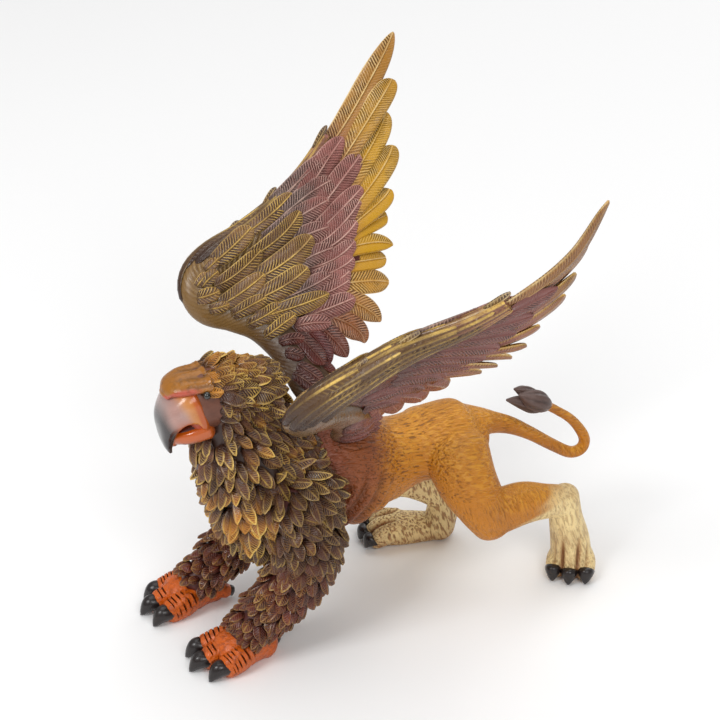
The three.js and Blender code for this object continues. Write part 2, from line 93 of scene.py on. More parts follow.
def spline(rows, t):
    """Values at shares t of the way through rows, on a uniform Catmull-Rom spline."""
    rows = np.asarray(rows, float)
    if rows.ndim == 1:
        return spline(rows[:, None], t)[..., 0]
    last = len(rows) - 1
    place = np.clip(t, 0, 1) * last
    k = np.minimum(place.astype(int), last - 1)
    f = (place - k)[..., None]
    a, b, c, d = (rows[np.clip(k + step, 0, last)] for step in (-1, 0, 1, 2))
    bend = 2 * a - 5 * b + 4 * c - d
    twist = 3 * b - a - 3 * c + d
    return 0.5 * (2 * b + (c - a) * f + bend * f ** 2 + twist * f ** 3)


def slope(rows, t):
    """Unit heading of the spline at shares t."""
    step = 1e-3
    return unit(spline(rows, np.clip(t + step, 0, 1)) - spline(rows, np.clip(t - step, 0, 1)))


# Patches: points, faces and the values that paint reads at each point


VECTORS = ("paint", "brush", "vane")  # values with three components, where the others have one


def patch(points, **values):
    """Faces over grids of points shaped (..., rows, columns, 3), closed from the last column to
    the first; a row at one point is a pole. Each value is spread over the points."""
    points = np.asarray(points, float)
    if points.ndim == 3:
        points = points[None]
    many, rows, cols = points.shape[:3]
    index = np.arange(many * rows * cols).reshape(many, rows, cols)
    pole = np.ptp(points, axis=2).max(axis=-1) < 1e-6
    index = np.where(pole[..., None], index[..., :1], index)
    right = np.roll(index, -1, 2)
    faces = np.stack([index[:, :-1], right[:, :-1], right[:, 1:], index[:, 1:]], -1).reshape(-1, 4)
    lower, upper = faces[:, 0] == faces[:, 1], faces[:, 2] == faces[:, 3]
    kept = ~(lower & upper)
    faces, lower, upper = faces[kept], lower[kept], upper[kept]
    faces[lower] = faces[lower][:, [1, 2, 3, 0]]
    faces[lower | upper, 3] = -1
    made = {"points": points.reshape(-1, 3), "faces": faces, "values": {}}
    for name, value in values.items():
        wide = (3,) if name in VECTORS else ()
        made["values"][name] = np.broadcast_to(value, points.shape[:3] + wide).reshape((-1,) + wide)
    return made


def together(patches):
    """One patch from several; a value that a patch lacks is 0 there."""
    widths = {name: value.shape[1:] for each in patches for name, value in each["values"].items()}
    starts = np.cumsum([0] + [len(each["points"]) for each in patches])
    return {
        "points": np.concatenate([each["points"] for each in patches]),
        "faces": np.concatenate([
            np.where(each["faces"] < 0, -1, each["faces"] + start) for each, start in zip(patches, starts)
        ]),
        "values": {
            name: np.concatenate([
                each["values"].get(name, np.zeros((len(each["points"]),) + wide)) for each in patches
            ]) for name, wide in widths.items()
        },
    }


def mirrored(piece):
    """The same patch on the other side, with its faces turned back outward."""
    faces = piece["faces"]
    three = faces[:, 3] < 0
    turned = faces[:, ::-1].copy()
    turned[three] = np.concatenate([faces[three][:, 2::-1], faces[three][:, 3:]], 1)
    return {**piece, "points": piece["points"] * [-1, 1, 1], "faces": turned}


def mesh_of(name, piece):
    """A mesh of the points that faces use, with a piece's values as its attributes."""
    used, faces = np.unique(piece["faces"], return_inverse=True)
    faces = faces.reshape(piece["faces"].shape)
    if used[0] < 0:
        used, faces = used[1:], faces - 1
    corners = [face if face[3] >= 0 else face[:3] for face in faces.tolist()]
    mesh = bpy.data.meshes.new(name)
    mesh.from_pydata(piece["points"][used].tolist(), [], corners)
    for key, value in piece["values"].items():
        value = value[used]
        kind, field = ("FLOAT", "value") if value.ndim == 1 else ("FLOAT_VECTOR", "vector")
        if key == "paint":
            kind, field = "FLOAT_COLOR", "color"
            value = np.concatenate([value, np.ones((len(value), 1))], 1)
        made = mesh.attributes.new(key, kind, "POINT")
        made.data.foreach_set(field, value.astype(np.float32).ravel())
    mesh.update()
    return mesh


def finished(name, piece, material, node="figure", sharp=40):
    """The patch as a piece of the griffin, in metres and in the frame, that stands for a node.
    Edges that turn by more than sharp degrees stay sharp."""
    mesh = mesh_of(name, {**piece, "points": (piece["points"] + [0, SHIFT, 0]) * MM})
    mesh.materials.append(material)
    mesh.shade_smooth()
    mesh.set_sharp_from_angle(angle=math.radians(sharp))
    made = bpy.data.objects.new(name, mesh)
    bpy.context.scene.collection.objects.link(made)
    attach(made, "root")
    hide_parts(node)


def ground(points):
    """Points kept at or above the ground, so that soles lie flat on it."""
    return np.concatenate([points[..., :2], np.maximum(points[..., 2:], 0)], -1)


def tube(stations, sides=24, rings=40, side=(1, 0, 0), cap=6, dome=0.9, swell=None, square=(1, 1)):
    """A skin round a path. At share s its ring is an ellipse with the half width, the half depth
    above and the half depth below splined from stations [x, y, z, wide, above, below], where
    depths left out follow the one before, and domed rings close both ends. swell(s, turn)
    gives how far the skin stands out from that, in millimetres. square holds the powers of the
    cosine and sine that draw the ring above and below: 1 is round, and 0.5 nearly a box.
    Given back are the points, and their shares and turns."""
    stations = np.array([list(s) + [s[-1]] * (6 - len(s)) for s in stations], float)
    side = np.asarray(side, float)
    arc = np.arange(cap) / cap * math.pi / 2
    s = np.concatenate([np.zeros(cap), np.linspace(0, 1, rings), np.ones(cap)])
    shrink = np.concatenate([np.sin(arc), np.ones(rings), np.sin(arc)[::-1]])[:, None]
    push = np.concatenate([-np.cos(arc), np.zeros(rings), np.cos(arc)[::-1]])
    path = stations[:, :3]
    size = spline(stations[:, 3:6], s)
    along = slope(path, s)
    wide = unit(side - along * (along @ side)[:, None])
    deep = np.cross(along, wide)
    centre = spline(path, s) + along * (push * dome * size.min(1))[:, None]
    turn = np.arange(sides) / sides * 2 * math.pi
    cos, sin = np.cos(turn), np.sin(turn)
    grow = swell(s[:, None], turn[None]) if swell else 0
    depth = np.where(sin > 0, size[:, 1:2], size[:, 2:3])
    power = np.where(sin > 0, *square)
    out = (size[:, :1] + grow) * shrink * np.sign(cos) * np.abs(cos) ** power
    up = (depth + grow) * shrink * np.sign(sin) * np.abs(sin) ** power
    points = centre[:, None] + wide[:, None] * out[..., None] + deep[:, None] * up[..., None]
    return points, *np.broadcast_arrays(s[:, None], turn)


# Paint: shader nodes, groups and materials


def put(tree, kind, inputs=(), **settings):
    """A new node with its settings, and its inputs filled by values or by links."""
    made = tree.nodes.new(kind)
    for key, value in settings.items():
        setattr(made, key, value)
    for key, value in dict(inputs).items():
        if isinstance(value, bpy.types.NodeSocket):
            tree.links.new(value, made.inputs[key])
        else:
            made.inputs[key].default_value = value
    return made


def calc(tree, operation, *values, clamp=False):
    """One step of arithmetic."""
    return put(tree, "ShaderNodeMath", enumerate(values), operation=operation, use_clamp=clamp).outputs[0]


def times(tree, first, *others, clamp=False):
    """Several values multiplied, and the product kept within 0..1 on request."""
    for k, other in enumerate(others, 1):
        first = calc(tree, "MULTIPLY", first, other, clamp=clamp and k == len(others))
    return first


def without(tree, value, removed=None):
    """Value less what is removed, or 1 less the value."""
    return calc(tree, "SUBTRACT", 1.0, value) if removed is None else calc(tree, "SUBTRACT", value, removed)


def larger(tree, *values):
    return calc(tree, "MAXIMUM", *values)


def blend(tree, share, a, b, how="MIX"):
    """Colour a turned toward colour b by share."""
    a, b = (v if isinstance(v, bpy.types.NodeSocket) else tuple(v)[:3] + (1,) for v in (a, b))
    return put(tree, "ShaderNodeMix", {0: share, 6: a, 7: b}, data_type="RGBA", blend_type=how).outputs[2]


def ramp(tree, value, low, high, to_low=0.0, to_high=1.0):
    """Value read smoothly from low..high onto to_low..to_high."""
    inputs = {"Value": value, "From Min": low, "From Max": high, "To Min": to_low, "To Max": to_high}
    return put(tree, "ShaderNodeMapRange", inputs, interpolation_type="SMOOTHSTEP").outputs[0]


def attribute(tree, name, output="Fac"):
    return put(tree, "ShaderNodeAttribute", attribute_name=name).outputs[output]


def object_place(tree):
    return put(tree, "ShaderNodeTexCoord").outputs["Object"]


def noise(tree, scale, detail=2.0, vector=None):
    """Fractal noise over the object's own space, or over another vector."""
    vector = object_place(tree) if vector is None else vector
    return put(tree, "ShaderNodeTexNoise", {"Vector": vector, "Scale": scale, "Detail": detail}).outputs[0]


def group(name, inputs, outputs):
    """A shader node group with named sockets, and its input and output nodes' sockets."""
    tree = bpy.data.node_groups.new(name, "ShaderNodeTree")
    for socket, value in inputs.items():
        plain = isinstance(value, float)
        kind = "NodeSocketFloat" if plain else "NodeSocketColor"
        made = tree.interface.new_socket(socket, in_out="INPUT", socket_type=kind)
        made.default_value = value if plain else tuple(value)[:3] + (1,)
    for socket, kind in outputs.items():
        tree.interface.new_socket(socket, in_out="OUTPUT", socket_type=f"NodeSocket{kind}")
    return tree, tree.nodes.new("NodeGroupInput").outputs, tree.nodes.new("NodeGroupOutput").inputs


def barbs_group():
    """Carved barbs of a feather. The vane attribute holds millimetres out from the shaft and
    along it, and ridges repeat every pitch, slanting forward as they leave the shaft."""
    tree, given, out = group(
        "feather_barbs", {"Pitch": 0.9, "Slant": 0.85, "Unevenness": 0.5},
        {"Crest": "Float", "Groove": "Float", "Height": "Float"},
    )
    place = put(tree, "ShaderNodeSeparateXYZ", {0: attribute(tree, "vane", "Vector")}).outputs
    from_shaft = calc(tree, "ABSOLUTE", place[0])
    wobble = times(tree, without(tree, noise(tree, 900), 0.5), given["Unevenness"])
    slanted = without(tree, place[1], times(tree, from_shaft, given["Slant"]))
    phase = calc(tree, "DIVIDE", calc(tree, "ADD", slanted, wobble), given["Pitch"])
    wave = calc(tree, "COSINE", times(tree, phase, 2 * math.pi))
    carve = times(tree, attribute(tree, "carve"), ramp(tree, noise(tree, 230, 1), 0.38, 0.62, 0.3, 1))
    shaft = ramp(tree, from_shaft, 0.34, 0.14)
    gutter = ramp(tree, from_shaft, 0.24, 0.5)
    crest = times(tree, ramp(tree, wave, 0.1, 0.85), gutter, carve)
    groove = times(tree, ramp(tree, wave, -0.15, -0.85), gutter, carve)
    height = calc(tree, "ADD", without(tree, 0.6, times(tree, groove, 0.6)), times(tree, crest, 0.4))
    tree.links.new(larger(tree, crest, shaft), out["Crest"])
    tree.links.new(times(tree, groove, without(tree, shaft)), out["Groove"])
    tree.links.new(larger(tree, height, shaft), out["Height"])


def brush_group():
    """Two painter's habits: a dark wash that stays in hollows, and light paint dragged dry over
    what stands out, broken by a fine grain."""
    tree, given, out = group(
        "wash_and_dry_brush",
        {"Base": (0.3, 0.2, 0.1), "Wash": (0.03, 0.02, 0.01), "Brush": (0.5, 0.35, 0.1), "Raised": 0.5,
         "Hollow": 0.0, "Wash Amount": 0.6, "Brush Amount": 0.5, "Grain": 1500.0},
        {"Color": "Color"},
    )
    grain = ramp(tree, noise(tree, given["Grain"], 3), 0.25, 0.55, 0.35, 1)
    patchy = ramp(tree, noise(tree, 160), 0.3, 0.68, 0.45, 1.15)
    low = times(tree, given["Hollow"], given["Wash Amount"], clamp=True)
    washed = blend(tree, low, given["Base"], given["Wash"])
    touched = times(tree, given["Raised"], grain, patchy, given["Brush Amount"], clamp=True)
    tree.links.new(blend(tree, touched, washed, given["Brush"]), out["Color"])


def fur_group():
    """Short carved strokes of fur: noise drawn out along the lie of the coat, which runs back
    over the body and turns down the legs."""
    tree, given, out = group(
        "short_fur", {"Density": 420.0, "Stretch": 0.2, "Downward": 0.0},
        {"Strokes": "Float", "Streaks": "Float"},
    )
    size = put(tree, "ShaderNodeCombineXYZ", {0: 1.0, 1: given["Stretch"], 2: 1.0}).outputs[0]

    def drawn_out(angle):
        turned = put(tree, "ShaderNodeMapping", {0: object_place(tree), "Rotation": (angle, 0, 0)})
        narrow = put(tree, "ShaderNodeVectorMath", {0: turned.outputs[0], 1: size}, operation="MULTIPLY")
        return noise(tree, given["Density"], 1.5, narrow.outputs[0])

    lies = {0: given["Downward"], 2: drawn_out(0.15), 3: drawn_out(1.25)}
    both = put(tree, "ShaderNodeMix", lies, data_type="FLOAT").outputs[0]
    tree.links.new(ramp(tree, both, 0.61, 0.67), out["Strokes"])
    tree.links.new(both, out["Streaks"])


def material(name, gloss, coat=0.0):
    """A new material, its tree and its shader's inputs; gloss is the roughness that it starts from."""
    made = bpy.data.materials.new(name)
    made.use_nodes = True
    shader = made.node_tree.nodes["Principled BSDF"].inputs
    shader["Roughness"].default_value = gloss
    shader["Coat Weight"].default_value = coat
    shader["Coat Roughness"].default_value = 0.12
    shader["Specular IOR Level"].default_value = 0.42
    return made, made.node_tree, shader


def use_group(tree, name, **inputs):
    """A group's outputs, with an underscore in a key for a space in the socket's name."""
    made = put(tree, "ShaderNodeGroup", node_tree=bpy.data.node_groups[name])
    for key, value in inputs.items():
        socket = made.inputs[key.replace("_", " ")]
        if isinstance(value, bpy.types.NodeSocket):
            tree.links.new(value, socket)
        else:
            socket.default_value = value if np.isscalar(value) else tuple(value)[:3] + (1,)
    return made.outputs


def bump(tree, height, depth, strength=1.0):
    """Relief of a height from 0 to 1, depth metres deep."""
    inputs = {"Height": height, "Distance": depth, "Strength": strength}
    return put(tree, "ShaderNodeBump", inputs).outputs[0]


def feather_material(name, pitch, depth, gloss, barbed, wash):
    """Painted feathers: a wash in every hollow, the same wash at each root as a painted shade where
    the feather lies under the one before, and each one's own brush colour dragged over its border,
    its shaft and, by the share barbed, its barbs."""
    made, tree, shader = material(name, gloss)
    barbs = use_group(tree, "feather_barbs", Pitch=pitch)
    # deep darkens each feather's root with the wash: a painted shade where it lies under the feather
    # before.
    deep = attribute(tree, "deep")
    border = ramp(tree, attribute(tree, "edge"), 0.45, 0.95)
    raised = larger(tree, times(tree, barbs["Crest"], barbed), border)
    painted = use_group(
        tree, "wash_and_dry_brush", Base=attribute(tree, "paint", "Color"), Wash=srgb("#2e1811"),
        Brush=attribute(tree, "brush", "Color"), Brush_Amount=attribute(tree, "gild"), Wash_Amount=wash,
        Raised=times(tree, raised, without(tree, deep), clamp=True),
        Hollow=larger(tree, times(tree, barbs["Groove"], without(tree, border)), deep),
    )
    tree.links.new(painted["Color"], shader["Base Color"])
    rough = ramp(tree, noise(tree, 700), 0.3, 0.7, gloss - 0.08, gloss + 0.12)
    tree.links.new(rough, shader["Roughness"])
    tree.links.new(bump(tree, larger(tree, barbs["Height"], border), depth), shader["Normal"])
    return made


def coat_material(density, colours):
    """The lion's coat: strokes of fur, a dark wash in them, speckles, and lighter straw streaks where it
    faces up, a painted top light.
    """
    made, tree, shader = material("lion_coat", gloss=0.42)
    fur = use_group(tree, "short_fur", Density=density, Downward=attribute(tree, "downward"))

    def masked(value, mask):
        return times(tree, value, attribute(tree, mask), clamp=True)

    speck = masked(ramp(tree, noise(tree, 1500, 1), 0.60, 0.70), "speckle")
    ink = larger(tree, masked(fur["Strokes"], "stroke"), speck)
    ink = larger(tree, ink, attribute(tree, "groove"))
    base = attribute(tree, "paint", "Color")
    for share, colour in (
        (ramp(tree, noise(tree, 90), 0.35, 0.7, 0, 0.25), colours.ruddy),
        # Straw streaks where the coat faces up: a painted top light.
        (masked(ramp(tree, fur["Streaks"], 0.52, 0.36), "top_lit_streak"), colours.top_lit_straw),
        # Rust streaks over the cream; their extra weight on the far side is a painted shade.
        (masked(ramp(tree, fur["Streaks"], 0.47, 0.6), "tan_and_far_shade"), colours.rust),
        (times(tree, ink, 0.75), colours.ink),
    ):
        base = blend(tree, share, base, colour)
    tree.links.new(base, shader["Base Color"])
    height = without(tree, ramp(tree, fur["Streaks"], 0.75, 0.3), times(tree, ink, 0.5))
    tree.links.new(bump(tree, height, depth=0.0004, strength=0.8), shader["Normal"])
    return made


def painted_material(name, gloss, coat, grain=600.0, depth=0.0001, contrast=0.2, wash=(0.02, 0.01, 0.008)):
    """Smooth vinyl in the colour of its paint attribute, mottled a little, with dark grooves."""
    made, tree, shader = material(name, gloss, coat)
    spots = noise(tree, grain, 3)
    groove = attribute(tree, "groove")
    base = blend(tree, ramp(tree, spots, 0.45, 0.75, 0, contrast), attribute(tree, "paint", "Color"), wash)
    tree.links.new(blend(tree, groove, base, wash), shader["Base Color"])
    tree.links.new(bump(tree, without(tree, spots, groove), depth), shader["Normal"])
    tree.links.new(ramp(tree, noise(tree, 300), 0.3, 0.7, gloss - 0.05, gloss + 0.1), shader["Roughness"])
    return made


# Feathers that lie on a body


VANE_X = np.array([-1, -0.6, -0.18, 0, 0.18, 0.6, 1, 0.45, -0.45])  # across, then back underneath
VANE_Z = np.array([0, 0.6, 0.72, 1, 0.72, 0.6, 0, -0.4, -0.4])
PLUME_ROWS = 8
PLUME_CUP = 0.12  # how far a plume's rims hang, as a share of its half width


def leaf(v, root=0.5, widest=0.58, tip=2.2, sharp=0.5):
    """Half width of a feather at share v: it opens from the root, and closes in a tip that is
    round where sharp is 0.5 and pointed where it nears 1."""
    opening = root + (1 - root) * np.sin(np.clip(v / widest, 0, 1) * math.pi / 2)
    closing = np.clip(1 - np.clip((v - widest) / (1 - widest), 0, 1) ** tip, 0, 1) ** sharp
    return opening * closing


def plumes(root, tip, up, width, thick, paint_root, paint_tip, brush, gild, bow, curl, lean, sharp):
    """Feathers from root to tip as closed low shells. Across, the section crowns to a shaft and
    cups at the rims; along, the centre line bows up by a share of the length, curls at the tip
    and leans aside."""
    v = 1 - (1 - np.linspace(0, 1, PLUME_ROWS)) ** 1.35
    span = tip - root
    length = np.linalg.norm(span, axis=-1)
    along = unit(span)
    wide = unit(np.cross(along, up))
    up = np.cross(wide, along)
    half = (width / 2)[:, None] * leaf(v, sharp=sharp[:, None]) * (v < 1)
    half[:, 0] = 0
    rise = length[:, None] * (bow[:, None] * 4 * v * (1 - v)) + curl[:, None] * v ** 3
    aside = lean[:, None] * length[:, None] * v ** 2
    centre = root[:, None] + span[:, None] * v[:, None] + up[:, None] * rise[..., None]
    centre = centre + wide[:, None] * aside[..., None]
    x = half[..., None] * VANE_X
    thin = np.sin(np.clip(v, 0.02, 0.98) * math.pi) ** 0.35
    z = thick[:, None, None] * VANE_Z * thin[:, None] - PLUME_CUP * np.abs(x) * np.abs(VANE_X)
    z = z * (half[..., None] > 0)
    points = centre[:, :, None] + wide[:, None, None] * x[..., None] + up[:, None, None] * z[..., None]
    return patch(points, **plume_values(v, x, length, paint_root, paint_tip, brush, gild))


def plume_values(v, x, length, paint_root, paint_tip, brush, gild, carve=1.0):
    """What the paint reads on plumes that reach x to each side of the shaft at shares v."""
    down = v[:, None]
    return {
        "paint": mix(paint_root[:, None, None], paint_tip[:, None, None], smoothstep(down, 0.3, 0.95)),
        "edge": np.maximum(np.abs(VANE_X) ** 3, smoothstep(down, 0.82, 1)),
        "vane": np.stack(np.broadcast_arrays(x, down * length[:, None, None], 0), -1),
        # deep: painted shade at the root, where the feather lies under the one before.
        "deep": smoothstep(down, 0.55, 0.1), "carve": carve,
        "gild": gild[:, None, None] * (0.25 + 0.75 * smoothstep(down, 0.35, 0.85)),
        "brush": brush[:, None, None],
    }


class Plumage:
    """Feathers gathered bed by bed, each one a little turned, longer or lighter than the next."""

    def __init__(self, seed, brush):
        self.rng = np.random.default_rng(seed)
        self.brush = brush
        self.beds = []

    def lay(self, point, outward, flow, length, width, tint, tip, gild, *, lift, stray, keep=None,
            bedded=1.1, spread=0.16, sharp=0.55, firm=1.0):
        """A feather at each point, or at those that keep marks. It points along flow, starts
        bedded deep and ends lift high; stray, spread and firm say how far it turns, how much its
        colour varies and how thick and bowed it is."""
        keep = np.ones(len(point), bool) if keep is None else keep
        rng, n = self.rng, np.count_nonzero(keep)

        def kept(value):
            return np.broadcast_to(value, (len(keep),) + np.shape(value)[1:])[keep]

        def each(colour):
            return np.broadcast_to(colour, (len(keep), 3))[keep]

        point, outward, flow = point[keep], outward[keep], flow[keep]
        flow = unit(flow - outward * (flow * outward).sum(1, keepdims=True))
        flow = unit(flow + np.cross(outward, flow) * rng.normal(0, stray, (n, 1)))
        reach = kept(length) * rng.normal(1, 0.12, n) * 0.86
        shade = (1 + spread * rng.standard_normal((n, 1))).clip(0.55, 1.6)
        self.beds.append({
            "root": point - outward * bedded,
            "tip": point + flow * reach[:, None] + outward * (kept(lift) * rng.normal(1, 0.25, n))[:, None],
            "up": outward,
            "width": kept(width) * rng.normal(1, 0.1, n),
            "thick": firm * rng.uniform(0.8, 1.2, n),
            "paint_root": each(tint) * shade,
            "paint_tip": each(tip) * shade,
            "brush": each(self.brush),
            "gild": np.clip(kept(gild) * rng.uniform(0.25, 1.35, n), 0.1, 1.1),
            "bow": firm * rng.normal(0.06, 0.03, n),
            "curl": firm * rng.normal(0.35, 0.35, n),
            "lean": rng.normal(0, 0.1, n),
            "sharp": sharp + rng.uniform(-0.1, 0.15, n),
        })

    def grown(self):
        return plumes(**{key: np.concatenate([bed[key] for bed in self.beds]) for key in self.beds[0]})


def tinted(colour, count, seed, spread=0.12):
    """A colour for each of count feathers, each a little lighter or darker."""
    rng = np.random.default_rng(seed)
    return np.asarray(colour)[None, :3] * (1 + spread * rng.standard_normal((count, 1))).clip(0.5, 1.6)


# The lion


TORSO = [
    [0, -14, 43, 11, 13], [0, -5, 43.2, 14.2, 15.9], [0, 3, 42.4, 14.4, 15.4],
    [0, 11, 41.6, 11.4, 11.6], [0, 18, 42.3, 10, 9.2], [0, 26, 42.8, 10.2, 10],
    [0, 33.4, 42.6, 9.7, 10.1], [0, 38, 42.8, 6.4, 6.4],
]
NEAR_LEG = [
    [[8.8, 28.4, 43.2, 7, 9], [12.8, 29.6, 37, 6.7, 8], [15, 33.2, 29.4, 5.8, 6.7],
     [15.5, 36.2, 24.5, 5, 6]],
    [[15.3, 36, 26.5, 4.8, 6.6], [15.2, 44, 27.4, 4.6, 6.3], [14.4, 52, 25.6, 4.1, 4.9],
     [13.6, 58, 23.6, 4, 4.6]],
    [[13.6, 58.2, 25, 3.8, 4.2], [13, 59.4, 18, 4.3, 4.6], [12.4, 61.4, 10, 5, 5.4],
     [13, 61.8, 4, 5.4, 5.6]],
]
FAR_LEG = [
    [[-8.8, 28.4, 41, 6.6, 8.8], [-12.4, 25.4, 34, 6.6, 8.8], [-14, 21, 26.4, 5.6, 7.2],
     [-14.4, 20, 22.8, 4.8, 5.2]],
    [[-14.4, 20.6, 24.4, 4.5, 4.9], [-15, 28.8, 20.4, 4.2, 4.6], [-15.8, 37, 13, 4.1, 4.4],
     [-16.8, 36.6, 3.4, 4.4, 4.6]],
]
PAWS = [(12.5, 62.2, 55.6, 10.2), (-20.6, 26.4, -17, 16)]  # middle x, y, heading outward, length
TAIL = [
    [0, 26, 44.8, 7.4], [0, 33, 45.8, 6], [0, 38.5, 45.4, 4.3], [0, 43.5, 44.1, 3],
    [0, 48.7, 41.9, 2.4], [0, 54.8, 37.9, 1.9], [0, 61.7, 32.6, 1.72], [0, 67.4, 28.8, 1.66],
    [0, 71, 29.2, 1.61], [0, 71.4, 32.8, 1.56], [0, 67.5, 38.8, 1.35], [0, 62.4, 43.2, 1.25],
    [0, 58.5, 46, 1.3],
]
TOE_PITCH = 4.3
TOE_PLACES = (-TOE_PITCH, 0, TOE_PITCH)
TOE_DRAWN_IN = 0.25  # how much shorter an outer toe is, as a share of its place to the side


def paw_frame(x, y, heading):
    """A paw's middle on the ground, and the directions ahead of it and to its side."""
    turn = math.radians(heading)
    ahead = np.array([math.sin(turn), -math.cos(turn), 0])
    beside = np.array([math.cos(turn), math.sin(turn), 0])
    return np.array([x, y, 0.0]), ahead, beside


def paw(x, y, heading, length):
    """The pad and three toes of a paw, as tubes for the body to take in."""
    middle, ahead, beside = paw_frame(x, y, heading)

    def limb(*spots):
        return tube([
            [*(middle + ahead * forward + beside * out + [0, 0, height]), *girth]
            for forward, out, height, *girth in spots
        ], side=beside)[0]

    tubes = [limb((-length / 2, 0, 3, 4.6, 4), (0, 0, 3.1, 5.6, 4.5), (length / 3, 0, 2.6, 5.4, 3.7))]
    for out in TOE_PLACES:
        reach = length / 2 - abs(out) * TOE_DRAWN_IN
        tubes.append(limb(
            (reach - 6.5, out * 0.7, 5.4, 2, 2.2), (reach - 3, out * 0.95, 4, 2.5, 2.9),
            (reach, out, 2.2, 2.3, 2.2),
        ))
    return tubes


def fused(tubes, voxel, rounds):
    """Points, normals and faces of tubes grown into one skin of even cells, then smoothed."""
    block = bpy.data.objects.new("block", mesh_of("block", together([patch(points) for points in tubes])))
    bpy.context.scene.collection.objects.link(block)
    remesh = block.modifiers.new("skin", "REMESH")
    remesh.mode = "VOXEL"
    remesh.voxel_size = voxel
    smooth = block.modifiers.new("soften", "SMOOTH")
    smooth.factor = 0.5
    smooth.iterations = rounds
    made = bpy.data.meshes.new_from_object(block.evaluated_get(bpy.context.evaluated_depsgraph_get()))
    points, normals = np.empty((2, len(made.vertices) * 3), np.float32)
    corners = np.empty(len(made.loops), np.int32)
    made.vertices.foreach_get("co", points)
    made.vertex_normals.foreach_get("vector", normals)
    made.loops.foreach_get("vertex_index", corners)
    bpy.data.objects.remove(block)
    bpy.data.meshes.remove(made)
    return points.reshape(-1, 3).astype(float), normals.reshape(-1, 3).astype(float), corners.reshape(-1, 4)


def coat_paint(points, normals, colours):
    """Paint and masks of the lion's coat by place: reddish toward the mane, straw where the back
    faces up as a painted top light, cream under the belly and down the hind legs."""
    x, y, z = points.T
    side, _, up = normals.T
    # Straw where the coat faces up along the back: a painted top light.
    paint = mix(colours.ochre, colours.top_lit_straw, 0.35 * smoothstep(up, 0.2, 0.9) * smoothstep(y, 4, 20))
    ruddy = smoothstep(y - 0.3 * (z - 40) + 0.8 * np.sin(z * 0.9 + y * 0.4), 12, -1)
    paint = mix(paint, colours.ruddy, 0.92 * ruddy)
    paint = mix(paint, colours.maroon, smoothstep(y, 0, -9) * 0.6)
    edge = z - 0.46 * (y - 7) + 0.6 * np.sin(y * 1.9 + z)
    belly = smoothstep(-up, -0.1, 0.3) * smoothstep(edge, 31, 29) * smoothstep(y, 4, 8)
    belly = belly * smoothstep(x, 10, 8.5) * smoothstep(y, 48, 36) * smoothstep(z, 39, 37)
    near_low = smoothstep(y + 1.5 * (26 - z) + 1.6 * np.sin(z * 1.4 + x), 45, 54)
    near_low = near_low * (x > 4) * smoothstep(z, 35, 31)
    far_low = smoothstep(z + 0.15 * y, 36, 29) * (x < -6) * smoothstep(y, 10, 14) * (y < 50)
    inner = smoothstep(-side * np.sign(x), 0.1, 0.6) * smoothstep(z, 38, 32)
    inner = inner * smoothstep(y, 14, 20) * (y < 50)
    cream = np.clip(belly + near_low + far_low + inner * 0.8, 0, 1)
    stroke = (0.3 + 0.6 * smoothstep(y, 32, 18)) * (1 - 0.35 * cream)
    return {
        "paint": mix(paint, colours.cream, cream),
        "stroke": np.clip(stroke * (1 - 0.7 * smoothstep(y, 6, -4)), 0, 1),
        # Straw streaks only where the coat faces up: a painted top light.
        "top_lit_streak": np.clip(0.6 * smoothstep(up, -0.1, 0.5) * smoothstep(y, 2, 14) * (1 - cream), 0, 1),
        "speckle": np.clip(smoothstep(y, 20, 8) * 0.9 + 0.2 * cream + 0.1, 0, 1),
        "downward": smoothstep(z, 37, 31) * smoothstep(y, 16, 22),
        # Rust streaks over the cream, heavier on the far side, where they are a painted shade.
        "tan_and_far_shade": cream * np.where(x > 0, 0.3, 0.75),
    }


def toe_cuts(points):
    """How deep the cuts between the toes are at each point, from 0 to 1, with a fainter crease
    down the middle of an outer toe."""
    cuts = np.zeros(len(points))
    for x, y, heading, _ in PAWS:
        middle, ahead, beside = paw_frame(x, y, heading)
        out, forward = (points - middle) @ beside, (points - middle) @ ahead
        near = smoothstep(forward, 0, 3) * smoothstep(np.hypot(out, forward), 13, 10)
        near = near * smoothstep(points[:, 2], 15, 8)
        for place, breadth, depth in ((TOE_PITCH / 2, 0.6, 1), (TOE_PITCH, 0.3, 0.5)):
            cuts = np.maximum(cuts, depth * near * np.exp(-((np.abs(out) - place) / breadth) ** 2))
    return cuts


def model_lion(sizes, colours):
    """One skin over the torso, tail, hind legs and paws, with folds behind the mane."""
    stack = [tube(TORSO, sides=40, rings=50, dome=0.5)[0], tube(TAIL, sides=20, rings=90, cap=5)[0]]
    stack += [tube(limb)[0] for limb in NEAR_LEG + FAR_LEG]
    for placed in PAWS:
        stack += paw(*placed)
    points, normals, faces = fused(stack, voxel=0.42, rounds=8)
    _, y, z = points.T
    lie = smoothstep(y, 12, 4) * smoothstep(z, 50, 42)
    folds = lie * np.sin((y * 0.9 - z * 0.45) * 1.35 + 0.5 * np.sin(z * 0.4))
    cuts = toe_cuts(points)
    points = ground(points + normals * (0.75 * folds - 0.8 * cuts)[:, None])
    values = coat_paint(points, normals, colours)
    # Rust deepens toward the floor and in the cuts between the toes.
    rust_low_and_in_cuts = np.clip(1.1 * cuts + 0.4 * smoothstep(points[:, 2], 5, 1), 0, 0.85)
    values["paint"] = mix(values["paint"], colours.rust, rust_low_and_in_cuts)
    values["groove"] = np.maximum(0.6 * smoothstep(-folds, 0.2, 1), 0.8 * smoothstep(cuts, 0.55, 1))
    piece = {"points": points, "faces": faces, "values": values}
    finished("lion_body", piece, coat_material(sizes.fur_density, colours), sharp=80)


